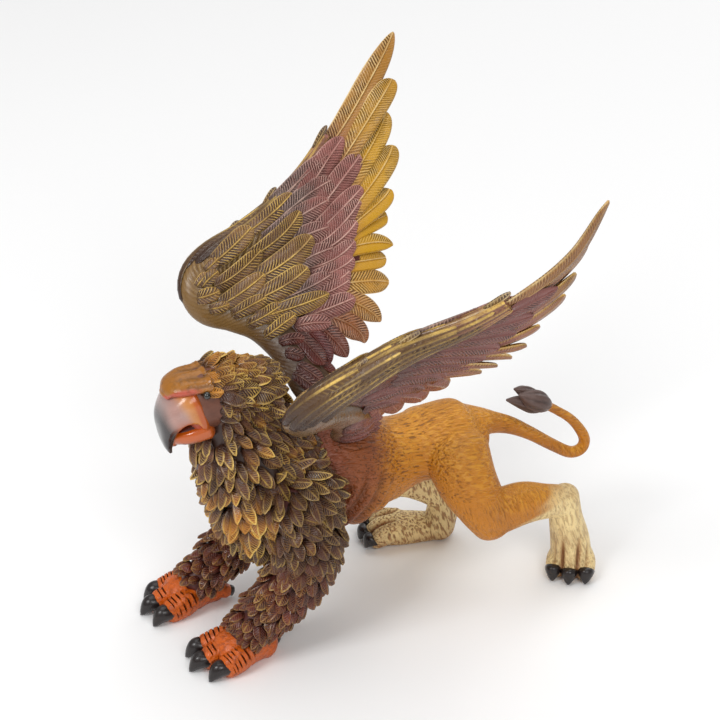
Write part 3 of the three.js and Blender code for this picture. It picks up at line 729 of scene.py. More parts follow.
def claw_points(root, tip, girth, sides=14, rings=14):
    """A hooked claw: its ring shrinks to nothing at the tip while its path arches over."""
    root, tip = np.asarray(root, float), np.asarray(tip, float)
    s = np.linspace(0, 1, rings)
    beside = unit(np.cross(unit(tip - root), [0, 0, 1.0]))
    above = np.cross(beside, unit(tip - root))
    centre = root + (tip - root) * s[:, None] + above * (girth * 0.55 * np.sin(s * math.pi))[:, None]
    size = girth * (1 - s ** 1.9) ** 0.75
    size[0] = 0
    turn = np.arange(sides) / sides * 2 * math.pi
    ring = -beside[None] * np.cos(turn)[:, None] + above[None] * np.sin(turn)[:, None] * 1.08
    return ground(centre[:, None] + ring[None] * size[:, None, None])


def model_claws(colours):
    """Three claws on each paw, and three talons and a spur on each eagle's foot."""
    ends = []
    for x, y, heading, length in PAWS:
        middle, ahead, beside = paw_frame(x, y, heading)
        for out in TOE_PLACES:
            reach = length / 2 - abs(out) * TOE_DRAWN_IN + 0.2
            root = middle + ahead * reach + beside * out + [0, 0, 2.7]
            tip = middle + ahead * (reach + 3.08) + beside * out * 1.04 + [0, 0, 0.4]
            ends.append((root - ahead * 0.4, tip, 2.4))
    for hand, x, y in FEET:
        for out, ahead_by, splay in TOES:
            turn = math.radians(splay) * hand
            root = np.array([x + hand * out, y + ahead_by, 2.9])
            lead = np.array([math.sin(turn), -math.cos(turn), 0])
            ends.append((root, root * [1, 1, 0] + [0, 0, 0.3] + lead * 5.8, 2.5))
        spur = np.array([x - hand * 2, y + 8, 2.6])
        ends.append((spur, spur * [1, 1, 0] + [0, 2, 0.3], 1.6))
    shells = together([patch(claw_points(*end), paint=colours.claw) for end in ends])
    black = painted_material("claw_black", gloss=0.3, coat=0.2, grain=900, depth=0.00005, contrast=0.3)
    finished("claws", shells, black, sharp=60)


def model_tuft(colours):
    """Three lobes of combed strands at the tail's end."""
    lobes = [
        [[0, 60, 45.1, 1.3], [1, 57, 47.4, 2.7], [1, 53.8, 49.4, 2.5], [0.6, 51, 50.8, 0.5]],
        [[0, 59.6, 45, 1.1], [-0.7, 55.6, 45.9, 2.1], [-0.7, 51.6, 48, 1.6], [-0.4, 47.8, 49.6, 0.4]],
        [[0, 59.6, 45.2, 1.1], [-1.4, 56.4, 47.6, 2], [-1.8, 53.4, 50, 1.7], [-1.6, 50.6, 51.6, 0.4]],
    ]

    def comb(s, turn):
        return np.sin(turn * 7 + s * 5)

    def strands(s, turn):
        return 0.14 * comb(s, turn) * np.sin(s * math.pi)

    shells = []
    for lobe in lobes:
        points, s, turn = tube(lobe, sides=42, rings=30, swell=strands)
        paint = mix(colours.ochre, colours.tuft, smoothstep(s, 0.0, 0.22))
        groove = smoothstep(-comb(s, turn), 0.3, 0.9) * 0.5 * np.sin(s * math.pi)
        shells.append(patch(points, paint=paint, groove=groove))
    hair = painted_material("tail_tuft", gloss=0.4, coat=0.0, grain=1200, depth=0.0001, contrast=0.25)
    finished("tail_tuft", together(shells), hair)


# The eagle's neck, head and forelegs


MANE = [
    [27.5, -17, 6, 7], [31.5, -17.6, 10, 12], [38, -19, 13.4, 14], [46, -20.5, 15.2, 15],
    [54, -22, 15, 14], [61, -25, 12.8, 11.4], [68, -28, 10.4, 9.4], [73, -30, 8, 8],
]
SKULL = [[0, -41.3, 70, 6.4, 7.8], [0, -38, 71, 7.3, 7.8], [0, -32, 71, 8.2, 8], [0, -25, 68.3, 9, 8.6]]
FEET = [(LEFT, 13, -33), (RIGHT, -15.5, -36)]
TOES = [(-5.4, -8.2, -10), (0, -9.4, -2), (5, -6.4, 8)]  # out, ahead, splay
FORELEGS = [(LEFT, 0), (RIGHT, 3)]  # hand, and how far the foot is set forward


def foreleg_path(hand, reach):
    """A foreleg's stations from shoulder to ankle, its foot set forward by reach."""
    return [
        [hand * 11, -18, 44, 8, 9.4], [hand * 13.4, -16, 34, 7.4, 8.2],
        [hand * 14, -16.8 - reach * 0.3, 26, 6.6, 7], [hand * 14, -21.6 - reach * 0.5, 18.4, 5.8, 6],
        [hand * 13.8, -27.2 - reach * 0.8, 13.4, 5.2, 5.4], [hand * 13.4, -33 - reach, 8.4, 4.6, 4.6],
    ]


ROW_DROP = 2.4  # from one row of neck feathers down to the next


def neck_size(z):
    """Middle, half depth and half width of the neck at a height."""
    levels = np.array(MANE)
    return [np.interp(z, levels[:, 0], levels[:, k]) for k in (1, 2, 3)]


def on_neck(z, turn):
    """Point and outward direction on the neck's ellipses at a height and a turn from the left."""
    middle, deep, wide = neck_size(z)
    point = np.stack([wide * np.cos(turn), middle + deep * np.sin(turn), z], -1)
    return point, unit(np.stack([np.cos(turn) / wide, np.sin(turn) / deep, 0 * z], -1))


def model_core(colours):
    """Neck, cheeks and forelegs under the feathers; the neck and forelegs are dark, a painted shade in the
    gaps between the feathers.
    """
    sides, rings, bare = 36, 40, 0.5
    z, turn = np.meshgrid(
        np.linspace(MANE[0][0], MANE[-1][0], rings), np.arange(sides) * 2 / sides * math.pi, indexing="ij",
    )
    neck, outward = on_neck(z, turn)
    neck = neck - outward * bare
    ends = neck[[0, -1]].mean(1, keepdims=True) * np.ones((1, sides, 1))
    neck = np.concatenate([ends[:1], neck, ends[1:]])
    skull, s, turn = tube(SKULL, sides=48, rings=40, dome=0.3)
    face = mix(colours.cheek, colours.rim_red, smoothstep(s, 0.2, 0.1) * smoothstep(np.sin(turn), 0, 0.5))
    # Neck in the dark wash colour: the toy's wash and a painted shade where it shows between the feathers.
    shells = [patch(neck, paint=colours.wash * 2.2), patch(skull, paint=face)]
    for hand, reach in FORELEGS:
        leg = [[*spot, wide - bare, deep - bare] for *spot, wide, deep in foreleg_path(hand, reach)]
        # Forelegs in dark maroon: a painted shade where they show between the feathers.
        shells.append(patch(tube(leg, sides=28, rings=40)[0], paint=colours.maroon * 0.6))
    dark = painted_material("core_paint_and_gap_shade", gloss=0.36, coat=0.0)
    finished("neck_and_shanks", together(shells), dark)


def on_tube(stations, share, turn):
    """Points, outward and forward directions on a tube at shares along it and turns round it."""
    stations = np.array(stations, float)
    share = np.broadcast_to(share, turn.shape)
    size = spline(stations[:, 3:5], share)
    along = slope(stations[:, :3], share)
    wide = unit(np.array([1.0, 0, 0]) - along * along[:, :1])
    deep = np.cross(along, wide)
    across, up = np.cos(turn)[:, None], np.sin(turn)[:, None]
    point = spline(stations[:, :3], share) + wide * across * size[:, :1] + deep * up * size[:, 1:]
    outward = unit(wide * across / size[:, :1] + deep * up / size[:, 1:])
    return point, outward, along


def ring_turns(rng, girth, pitch, row):
    """Turns a pitch apart round a ring of that half girth, staggered on every other row."""
    count = max(4, int(round(2 * math.pi * girth / pitch)))
    return 2 * math.pi * (np.arange(count) + 0.5 * (row % 2)) / count + rng.normal(0, 0.06, count)


def leaning(point, along, fall, start, end):
    """The direction along, turned down by fall where a point is further aside than start..end."""
    return along + np.array([0, 0, -fall]) * smoothstep(np.abs(point[:, :1]), start, end)


def model_mane(sizes, colours):
    """Rows of feathers down the neck, over both shoulders and onto the lion's back."""
    bed = Plumage(11, colours.gold)
    rng = bed.rng
    length, width = sizes.plume_length / MM, sizes.plume_width / MM
    for row, z in enumerate(np.arange(73.5, 28, -ROW_DROP)):
        _, deep, wide = neck_size(z)
        grow = np.interp(z, [30, 42, 56, 70], [1.1, 1.05, 0.86, 0.7])
        turn = ring_turns(rng, (deep + wide) / 2, 3.1 * grow ** 0.5, row)
        height = z + rng.normal(0, 0.7, len(turn))
        point, outward = on_neck(height, turn)
        back = np.interp(height, [32, 40, 48, 58, 68], [0.1, 0.25, 0.5, 0.95, 1.5])
        breast = np.exp(-((point - [9, -31, 44]) ** 2).sum(1) / 20)
        orange = np.clip(breast * 1.7 + rng.uniform(0, 0.95, len(turn)) ** 5, 0, 1)
        bed.lay(
            point, outward, np.stack([0 * back, back, -np.ones(len(turn))], 1), length * grow,
            width * grow ** 0.7, colours.mane, mix(colours.mane * 1.15, colours.gold_orange, orange), 0.84,
            lift=np.interp(height, [30, 60, 75], [2.2, 1.8, 1.1]), stray=0.3, sharp=0.9, firm=1.25,
            keep=((point[:, 1] > -35) | (height < 62.5)) & ((height > 44) | (outward[:, 1] < 0.6)),
        )
    shoulder = np.array([8, 9.6, 9.5])
    for hand in (LEFT, RIGHT):
        for row, tilt in enumerate(np.radians([72, 54, 38, 22, 6])):
            turn = ring_turns(rng, 9 * math.cos(tilt) + 0.6, 3.4, row)
            level = math.cos(tilt)
            ball = np.stack([np.cos(turn) * level, np.sin(turn) * level, 0 * turn + math.sin(tilt)], 1)
            bed.lay(
                np.array([hand * 11, -17.5, 43.5]) + ball * shoulder, unit(ball / shoulder),
                np.array([0, 0.75, -1]) + 0 * ball, length * 0.95, width * 0.95, colours.mane,
                colours.mane * 1.1, 0.72, lift=1.7, stray=0.26, sharp=0.9, firm=1.25,
                keep=(ball[:, 0] * hand > -0.2) & (ball[:, 1] > -0.8),
            )
    for row, share in enumerate((0.0, 0.03)):
        point, outward, along = on_tube(TORSO, share, ring_turns(rng, 12.5, 3.4, row))
        bed.lay(
            point, outward, leaning(point, along, 0.5, 4, 12), 6.4, width * 0.8, colours.mane,
            colours.maroon, 0.8, lift=1.4, stray=0.2, sharp=0.95, keep=point[:, 2] < 57,
        )
    finished("mane_feathers", bed.grown(), bpy.data.materials["mane_paint"])


CREST_ROWS = [
    (-38.4, (-4.4, -1.6, 1.6, 4.4), 0.16), (-35.4, (-6.4, -3.4, 0, 3.4, 6.4), 0.14),
    (-32, (-6.8, -5, -1.8, 1.8, 5, 6.8), 0.08), (-28.6, (-6.4, -3.4, 0, 3.4, 6.4), -0.1),
    (-25.2, (-5.4, -1.8, 1.8, 5.4), -0.3), (-22.4, (-3.4, 0, 3.4), -0.5),
]  # y, the feathers' places across, and how far they rise
BEARD = [
    [-3.6, -37.2, 60.4], [3.6, -37.2, 60.4], [0, -39.4, 60.8], [-5.6, -34.6, 59.5], [5.6, -34.6, 59.5],
    [-2, -38.4, 57.5], [2, -38.4, 57.5], [4.6, -36.4, 57], [-4.6, -36.4, 57],
]


def model_head_feathers(colours):
    """Cheeks, crest, brows, beard and nape."""
    bed = Plumage(29, colours.gold)
    for row, share in enumerate((0.47, 0.55, 0.63, 0.71, 0.79, 0.86, 0.93, 1.0)):
        point, outward, along = on_tube(SKULL, share, ring_turns(bed.rng, 8.4, 2.6, row))
        tint = mix(colours.mane, colours.cap, 0.75 * smoothstep(point[:, 2], 76, 79))
        bed.lay(
            point, outward, leaning(point, along, 0.45, 3, 8), 6.2, 3.3, tint, tint * 1.15, 0.9,
            bedded=0.7, lift=1.2, stray=0.25, spread=0.22, sharp=0.85, firm=1.15,
            keep=(point[:, 2] > 60) & ((point[:, 1] > -36.5) | (point[:, 2] < 78)),
        )
    x, y, rise = np.array([
        [x, y, rise - 0.012 * x * x] for y, across, rise in CREST_ROWS for x in across
    ]).T
    top = np.interp(y, [-38.4, -32, -28, -22], [78, 77.8, 77, 74.4]) - 0.055 * x ** 2
    level = np.ones(len(x))
    back = np.maximum(smoothstep(y, -35, -26), smoothstep(np.abs(x), 3.4, 5.6))
    bed.lay(
        np.stack([x, y, top], 1), unit(np.stack([x * 0.11, 0 * top + 0.1, level], 1)),
        np.stack([x * 0.04, level, rise], 1), 8, 5, mix(colours.cap, colours.mane, back),
        mix(colours.gold_orange, colours.mane, back), 0.9,
        bedded=0.6, lift=1.1, stray=0.12, spread=0.1, sharp=0.95, firm=1.2,
    )
    hand = np.array([LEFT, RIGHT, LEFT, RIGHT])
    bed.lay(
        np.stack([hand * 6.4, [-39.8, -39.8, -36.6, -36.6], [76, 76, 74.2, 74.2]], 1),
        unit(np.stack([hand, [-0.2] * 4, [0.5, 0.5, 0.1, 0.1]], 1)),
        np.array([[0, 1, 0.05], [0, 1, 0.05], [0, 1, -0.3], [0, 1, -0.3]]), np.array([7, 7, 6, 6]), 2.6,
        colours.cap, colours.gold_orange, 0.8,
        bedded=0.6, lift=0.1, stray=0.02, spread=0.05, sharp=0.85, firm=0.5,
    )
    x, level = np.array(BEARD)[:, 0], np.ones(len(BEARD))
    bed.lay(
        np.array(BEARD), unit(np.stack([x * 0.16, -level, -0.1 * level], 1)),
        np.stack([x * 0.03, 0.05 * level, -level], 1), 8.2, 4.2, colours.cheek, colours.mane * 1.2, 0.5,
        bedded=0.6, lift=1.5, stray=0.1,
    )
    height, place = np.meshgrid(np.arange(76.4, 50, -ROW_DROP), np.arange(7), indexing="ij")
    turn = np.radians(42 + 15 * place + 7.5 * (np.arange(len(height))[:, None] % 2)).ravel()
    point, outward = on_neck(height.ravel(), turn)
    bed.lay(
        point, outward, np.array([0, 0.3, -1]) + 0 * point, 7, 3.8, colours.mane, colours.mane * 1.15, 0.8,
        bedded=0.8, lift=1.6, stray=0.15, sharp=0.85, firm=1.15,
    )
    finished("head_feathers", bed.grown(), bpy.data.materials["mane_paint"])


UPPER_BEAK = [
    [0, -39.9, 71.3, 7.2, 6.2, 7.9], [0, -41.8, 70.7, 7.1, 5.8, 4.2], [0, -44.2, 69.3, 6.4, 4.6, 2.4],
    [0, -46, 67, 5.2, 3.2, 2], [0, -46.8, 63.2, 3.1, 1.75, 1.7], [0, -46.6, 60, 1.8, 0.9, 0.95],
    [0, -45.9, 57.9, 0.5, 0.4, 0.4],
]
LOWER_BEAK = [
    [0, -37.6, 64.3, 6.7, 3], [0, -41.5, 63.2, 5.7, 2.7], [0, -44, 62.2, 3.9, 2.2],
    [0, -45.3, 61.1, 1.9, 1.5],
]
MOUTH = [
    [0, -37.4, 66.2, 5.8, 2.8], [0, -42, 65.2, 4.4, 2], [0, -45, 63.2, 2.4, 1.2],
]
CAP = [
    [0, -46.6, 74.8, 2.6, 1.2, 1.4], [0, -45.2, 76.2, 4.6, 1.8, 2.2], [0, -42, 76.8, 6.2, 2.2, 2.2],
    [0, -39, 76.8, 6.8, 2, 1.4], [0, -36.6, 76.8, 6.9, 2.1, 1],
]


def model_head(colours):
    """The beak with its mouth, the cap that folds over it, and the eyes."""
    upper, s, turn = tube(UPPER_BEAK, sides=56, rings=60, dome=0.35, square=(0.72, 0.55))
    above = np.sin(turn)
    # Pinkish grey over the top of the beak: partly the beak's paint, partly a painted highlight.
    pink_and_highlight = smoothstep(s, 0.08, 0.26) * smoothstep(above, -0.5, 0.25)
    pink_and_highlight = pink_and_highlight * (0.86 + 0.14 * np.sin(11 * s + 2 * turn))
    border = 0.6 * smoothstep(s, 0.06, 0.14) * smoothstep(s, 0.3, 0.18)
    paint = mix(mix(colours.beak_orange, colours.beak_pink_and_highlight, pink_and_highlight), colours.beak_straw, border)
    paint = mix(paint, colours.horn, smoothstep(s + 0.1 * above, 0.43, 0.6))
    lower, s, turn = tube(LOWER_BEAK, sides=40, rings=36, square=(0.55, 1))
    above = np.sin(turn)
    grey = smoothstep(-above, -0.1, 0.6) * smoothstep(s, 0.15, 0.4)
    under = mix(colours.beak_orange, colours.beak_grey, grey)
    under = mix(under, colours.foot, smoothstep(above, 0.3, 0.8))
    shells = [
        patch(upper, paint=paint), patch(lower, paint=under),
        patch(tube(MOUTH, sides=30, rings=20)[0], paint=colours.mouth),
    ]
    glossy = painted_material("beak_gloss", gloss=0.2, coat=0.5, grain=300, depth=0.00003, contrast=0.1)
    finished("beak", together(shells), glossy, sharp=70)

    def folds(s, turn):
        """A lip at the front, and creases that fan back from it over the top."""
        high = smoothstep(np.sin(turn), 0, 0.5)
        creases = 0.3 * high * np.sin(turn * 9) * smoothstep(s, 0.75, 0.3)
        return creases + 0.45 * smoothstep(s, 0.14, 0.0) * high

    points, s, turn = tube(CAP[::-1], sides=72, rings=50, swell=folds)
    low = smoothstep(-np.sin(turn), -0.6, -0.25) * smoothstep(1 - s, 0.8, 0.5)
    low = np.maximum(low, smoothstep(1 - s, 0.1, 0) * smoothstep(np.sin(turn), 0.95, 0.5))
    groove = 0.6 * smoothstep(-np.sin(turn * 9), 0.4, 1) * smoothstep(s, 0.75, 0.3)
    cap = patch(points, paint=mix(colours.cap, colours.rim_red, low), groove=groove)
    waxy = painted_material(
        "cap_paint", gloss=0.3, coat=0.2, grain=900, depth=0.0002, contrast=0.5, wash=srgb("#5a3a14"),
    )
    finished("cap", cap, waxy, sharp=70)
    eyes = []
    for hand in (LEFT, RIGHT):
        bead = tube([[hand * 6.3, -38.4, 75.9, 1.1], [hand * 7.3, -38.5, 76, 0.95]], sides=20, rings=8)[0]
        eyes.append(patch(bead, paint=colours.eye))
    glass = painted_material("eye_gloss", gloss=0.08, coat=1.0, grain=300, depth=0.00001, contrast=0.1)
    finished("eyes", together(eyes), glass)


def model_feet(colours):
    """Each front foot as a pad, three plated toes and a spur behind."""

    def scutes(s, turn):
        """Flat plates across the top, with a narrow cut between one and the next."""
        cut = smoothstep(np.cos(s * 2 * math.pi * 7.5 + 0.4 * np.sin(turn * 3)), 0.6, 0.97)
        cut = -0.42 * cut * smoothstep(np.sin(turn * 2.5 + s * 4), -0.9, -0.3)
        return cut * smoothstep(np.sin(turn), -0.5, 0.1)

    shells = []
    for hand, x, y in FEET:
        pad = tube([
            [x, y + 5.5, 3.1, 3.6, 4.1], [x, y + 1, 4.4, 5.4, 5.7], [x, y - 4, 3.8, 6, 5],
        ], sides=30, rings=30)[0]
        shells.append(patch(ground(pad), paint=colours.foot))
        for out, ahead_by, _ in TOES:
            toe, s, turn = tube([
                [x + hand * out * 0.5, y + 2, 6, 2.4, 2.4],
                [x + hand * out * 0.85, y + ahead_by * 0.45, 4, 2.8, 3.8],
                [x + hand * out, y + ahead_by, 2.8, 2.6, 3.3],
            ], sides=26, rings=90, swell=scutes, square=(0.7, 1))
            shells.append(patch(ground(toe), paint=colours.foot, groove=-2.2 * scutes(s, turn)))
        spur = tube([[x - hand, y + 3, 4, 2.4], [x - hand * 2, y + 8, 2.6, 2]], sides=20, rings=20)[0]
        shells.append(patch(ground(spur), paint=colours.foot))
    paint = painted_material(
        "foot_paint", gloss=0.33, coat=0.1, grain=800, depth=0.0006, contrast=0.6, wash=srgb("#571a08"),
    )
    finished("eagle_feet", together(shells), paint)


def model_leg_feathers(colours):
    """Rows of short feathers down each foreleg, maroon toward the foot."""
    bed = Plumage(23, colours.gold)
    for hand, reach in FORELEGS:
        path = foreleg_path(hand, reach)
        for row, share in enumerate(np.linspace(0.04, 0.97, 17)):
            girth = spline(np.array(path)[:, 3:5], np.array(share)).mean()
            turn = ring_turns(bed.rng, girth, 3.0 - 0.5 * share, row)
            place = np.clip(share + bed.rng.normal(0, 0.012, len(turn)), 0, 1)
            point, outward, along = on_tube(path, place, turn)
            low = smoothstep(share, 0.12, 0.6)
            tint = (colours.mane * (1 - low) + colours.maroon * low) * 0.88
            orange = bed.rng.uniform(0, 0.4, len(turn)) ** 2
            bed.lay(
                point, outward, along + [0, 0.35 * (1 - share), 0], 7.6 * (1 - share) + 4.4 * share,
                3.9 - 1.1 * share, tint, mix(tint, colours.gold_orange, orange), 0.38 - 0.08 * share,
                lift=1.4 - 0.7 * share, stray=0.3, sharp=0.85, keep=point[:, 2] > 6.5,
            )
    finished("foreleg_feathers", bed.grown(), bpy.data.materials["mane_paint"])


# The wings, drawn on their own grid: p runs back, q up the wing, n out of its upper face


TILT = math.radians(31.2)
UP_WING = np.array([math.sin(TILT), 0, math.cos(TILT)])
OUT_OF_WING = np.array([-math.cos(TILT), 0, math.sin(TILT)])
SOCKET = np.array([7.6, 1, 54])
SOCKET_ON_WING = [7.6, -11.6, 5.7]
WING_AXES = np.stack([[0, 1, 0], UP_WING, OUT_OF_WING])
# The arm: p, q, half width, half thickness
ARM = [
    [7.4, -12.8, 2.8, 1.3], [5.8, -9, 4.8, 1.7], [3.6, -3, 5.6, 2], [1, 5, 5, 2.1],
    [-4.4, 13.6, 4.8, 2.4], [-10.4, 18.6, 5.4, 3], [-15.8, 22.4, 6.2, 3.6], [-16.2, 27, 6.4, 3.6],
    [-12, 31, 6, 3.2], [-2.4, 35.8, 4.8, 2.6], [7.8, 41.8, 3.8, 2.1], [18, 49.6, 2.8, 1.6],
    [26, 58, 1.7, 1.1],
]
# Feathers of the wing: p and q of the root, the middle and the tip, then width, and how pointed
FLIGHTS = [
    [18, 49.6, 35.1, 65.4, 47.1, 81.8, 6.4, 0.5], [20.8, 45, 36.5, 60.3, 44.8, 69.9, 6.4, 0.1],
    [19.4, 38, 35.2, 52.4, 42.4, 62.1, 6.8, 0.35], [15.5, 30.5, 34.2, 43.9, 42.4, 53.1, 6.4, 0.15],
    [13.6, 29.4, 31.6, 37, 39.2, 41.9, 5.8, 0.3], [12.3, 28.4, 29.4, 33.5, 37.3, 35.3, 5.4, 0.2],
    [10.4, 27, 27.9, 28.9, 36.4, 27, 5.4, 0.7], [10.3, 25, 25.9, 24.6, 33.6, 24.2, 5.6, 0.35],
    [9.4, 20.2, 23.6, 19.4, 32, 17.7, 6.8, 0.45], [11.2, 19.8, 21.4, 13.6, 26.1, 8, 6.6, 0.8],
    [7.8, 15.2, 17.7, 9, 20.4, 3.5, 6.4, 0.8], [6, 15.6, 12.2, 6.8, 14.8, 0.9, 5.8, 0.75],
    [4.2, 14, 8.1, 6.6, 9.7, 0.1, 5.8, 0.6], [1.6, 6.3, 7.4, 0, 10.8, -3, 4.6, 0.7],
]
FLIGHT_RISE = [
    0.5, 2.6, 1, 1.5, 1, -0.6, 0.3, -0.6, 0, 0.4, 0, -0.3, 0, 0,
]  # how far each tip lifts off the middle surface
GREATER = [
    [10.4, 40.6, 19.7, 49.1, 29.4, 57.6, 7, 0.35], [9, 33.2, 21.7, 43, 33.1, 52.1, 7, 0.1],
    [9.9, 31.1, 22.3, 38, 31.5, 43.7, 6, 0.2], [10.5, 29.6, 21, 33.9, 30, 40.4, 5.8, 0.2],
    [10.6, 28.1, 20, 30.7, 27.4, 35.2, 5.4, 0.3], [10.1, 25.4, 18.2, 26.6, 25.2, 30.2, 5.2, 0.3],
    [9.7, 22.6, 17.3, 23.5, 23.5, 25.9, 5.2, 0.3], [8.1, 20.1, 15.5, 20.5, 21.2, 22.7, 5.2, 0.3],
    [6.5, 17.6, 14, 18.4, 20.5, 20.4, 5.2, 0.3], [6.3, 13.4, 14.4, 14.5, 20.7, 15.6, 5.8, 0.4],
    [3.1, 11.5, 8.2, 11.4, 12.7, 10.3, 4.6, 0.5],
]
SECOND = [
    [1, 39.4, 10.4, 46, 19.4, 52.6, 4.6, 0.4], [4, 43, 13.8, 48.2, 24, 54, 5.2, 0.3],
    [3, 38, 13.6, 43.6, 23.6, 47, 5.8, 0.3], [-0.6, 34, 10.2, 38.6, 21, 42, 5.8, 0.3],
    [0, 30.6, 10, 33.6, 19, 35, 5.4, 0.3], [0, 24.4, 9.6, 27.8, 18.4, 29.4, 5.4, 0.3],
    [0, 19, 8.4, 20.4, 16, 22.8, 5.2, 0.3],
]
MEDIAN = [
    [-6, 36.6, 3.3, 40.9, 10.7, 45.4, 4.4, 0.25], [-6, 30.6, 4.6, 34.8, 11.7, 40.6, 5.6, 0.3],
    [-6.4, 24.6, 5.2, 28.6, 13.2, 33.6, 7, 0.3], [-8, 19.8, 2.4, 22.2, 10, 25.8, 6.2, 0.2],
    [-8, 15.6, 4.4, 16.5, 13.9, 18, 5, 0.5], [-9.4, 14.4, -3.6, 16, 1.1, 17.8, 4, 0.15],
    [-5.6, 10.4, -0.8, 12.6, 3.8, 14.4, 3.8, 0.15],
]
LESSER = [
    [-14.1, 31.6, -8, 35, -2.2, 38.8, 5.6, 0.1], [-15.2, 25.8, -8.3, 28, -1, 32.6, 5, 0.15],
    [-15.4, 20.8, -8.6, 22.9, -1.5, 26.4, 5.2, 0.2], [-12.6, 17.6, -7.7, 19, -2.5, 20.4, 4, 0.2],
    [-18.2, 26.2, -16, 28, -13.2, 29.4, 3.6, 0.2], [-20, 23.9, -17.8, 23.8, -14, 24.4, 4.2, 0.3],
    [-17.8, 20.4, -15.4, 20.3, -12.4, 20.6, 3, 0.4], [-16.4, 30.2, -14.4, 31.4, -12.2, 32.8, 2.8, 0.4],
    [-19.4, 26.6, -17.8, 28.2, -16, 29.8, 2.4, 0.4],
]
LEADING = [
    [2.6, 43.2, 5.2, 45.8, 7.4, 47.8, 1.9, 0.5], [-8.6, 37.8, -6.2, 39.7, -4.4, 41.3, 1.7, 0.5],
    [20.4, 55.6, 23.2, 58.6, 25.7, 61.4, 2, 0.5],
]
ROOT_FEATHERS = [
    [-2.4, 8.3, 1.3, 8.6, 4.6, 7.8, 3.2, 0.3], [-1.6, 5.4, 0.7, 4.7, 2.7, 3.1, 3.4, 0.4],
    [3, 9.6, 5.9, 4.4, 7.8, 0.3, 5, 0.6], [0.6, 2, 3.7, -1.2, 5.8, -3.9, 4, 0.5],
    [-1, 0, 1.6, -2.6, 3.4, -5.6, 3.8, 0.5], [2.6, -3, 4.6, -5.6, 6, -8.6, 4, 0.5],
]
UNDER_GREATER = [
    [-1, 18.5, 5.6, 19.6, 10.2, 18.6, 6, 0.6], [1, 13.4, 8, 13.3, 12.5, 10.2, 6, 0.7],
    [4.9, 20.5, 12.8, 19.5, 18.1, 14.5, 7, 0.7], [5.9, 24.8, 15.5, 23.4, 22, 18.6, 7, 0.7],
    [6, 29, 18.9, 28, 27, 23.6, 7, 0.7], [8, 33, 20.6, 32.6, 28.6, 29.6, 7, 0.7],
    [10, 37, 22.2, 37.8, 30, 36.4, 7, 0.7], [12, 41, 24, 43.6, 32, 43.6, 7, 0.7],
    [15, 45, 26, 49, 34, 51.4, 6.6, 0.7], [20, 50, 30, 57, 37, 62, 6, 0.7],
    [-3, 9, 1.6, 6.4, 5, 3.6, 5.6, 0.6], [-1.6, 2.4, 4.6, 2.6, 10.6, 1.4, 5.4, 0.6],
    [-0.6, -2.6, 5.6, -3, 12, -4, 5.4, 0.6], [1, -7.4, 7, -8.2, 13, -8, 5, 0.6],
]
# The rear edge of the plate that backs the feathers: p and q from shoulder to tip
PLATE_EDGE = [[7, -6], [9, 4], [15, 9], [22, 17], [25, 24], [27, 32], [29, 42], [31, 54], [34, 64]]
# Height of the middle surface from shoulder to tip, over a wave's length
WAVE = [-3.6, -1.6, 0, -1.4, -2.4, -1, 5]
WAVE_LENGTH = 90
WING_AXIS = (0.78, 0.63)  # from the shoulder to the tip
LEADING_EDGE = 34  # how far it lies ahead of the axis
LIFT_AT_ROOT = 0.22
LIFTED_SHARE = 0.53  # share of the wave's length over which the lift fades out
ARM_LENGTH = 85  # along the arm's bend, in millimetres


def camber(p, q):
    """Height of the wing's middle surface over its plane: it waves from shoulder to tip, and
    near the root its trailing side lifts toward the body."""
    on_p, on_q = WING_AXIS
    along = (on_p * p + on_q * q) / WAVE_LENGTH
    behind = on_q * p - on_p * q + LEADING_EDGE
    lift = LIFT_AT_ROOT * np.maximum(0, 1 - along / LIFTED_SHARE) * behind
    return spline(WAVE, np.clip(along, 0, 1)) + lift


def on_wing(p, q, n):
    """Points of the wing's own grid on the figure's grid."""
    places = np.stack(np.broadcast_arrays(p, q, n), -1) - SOCKET_ON_WING
    return SOCKET + places @ WING_AXES


def bulge(p, q):
    """How far the arm stands out of the middle surface at p and q."""
    arm = spline(ARM, np.linspace(0.1, 1, 60))
    away = ((p[..., None] - arm[:, 0]) ** 2 + (q[..., None] - arm[:, 1]) ** 2) / arm[:, 2] ** 2
    return (arm[:, 3] * np.sqrt(np.maximum(0, 1 - away))).max(-1)


BLADE_X = np.array([-1, -0.84, -0.5, -0.13, 0, 0.13, 0.5, 0.84, 1, 0.7, 0.12, 0, -0.12, -0.7])
BLADE_Z = np.array([0, 0.5, 0.62, 0.46, 0.8, 0.46, 0.62, 0.5, 0, -0.5, -0.5, -0.7, -0.5, -0.5])
BEHIND = np.arange(14) > 8


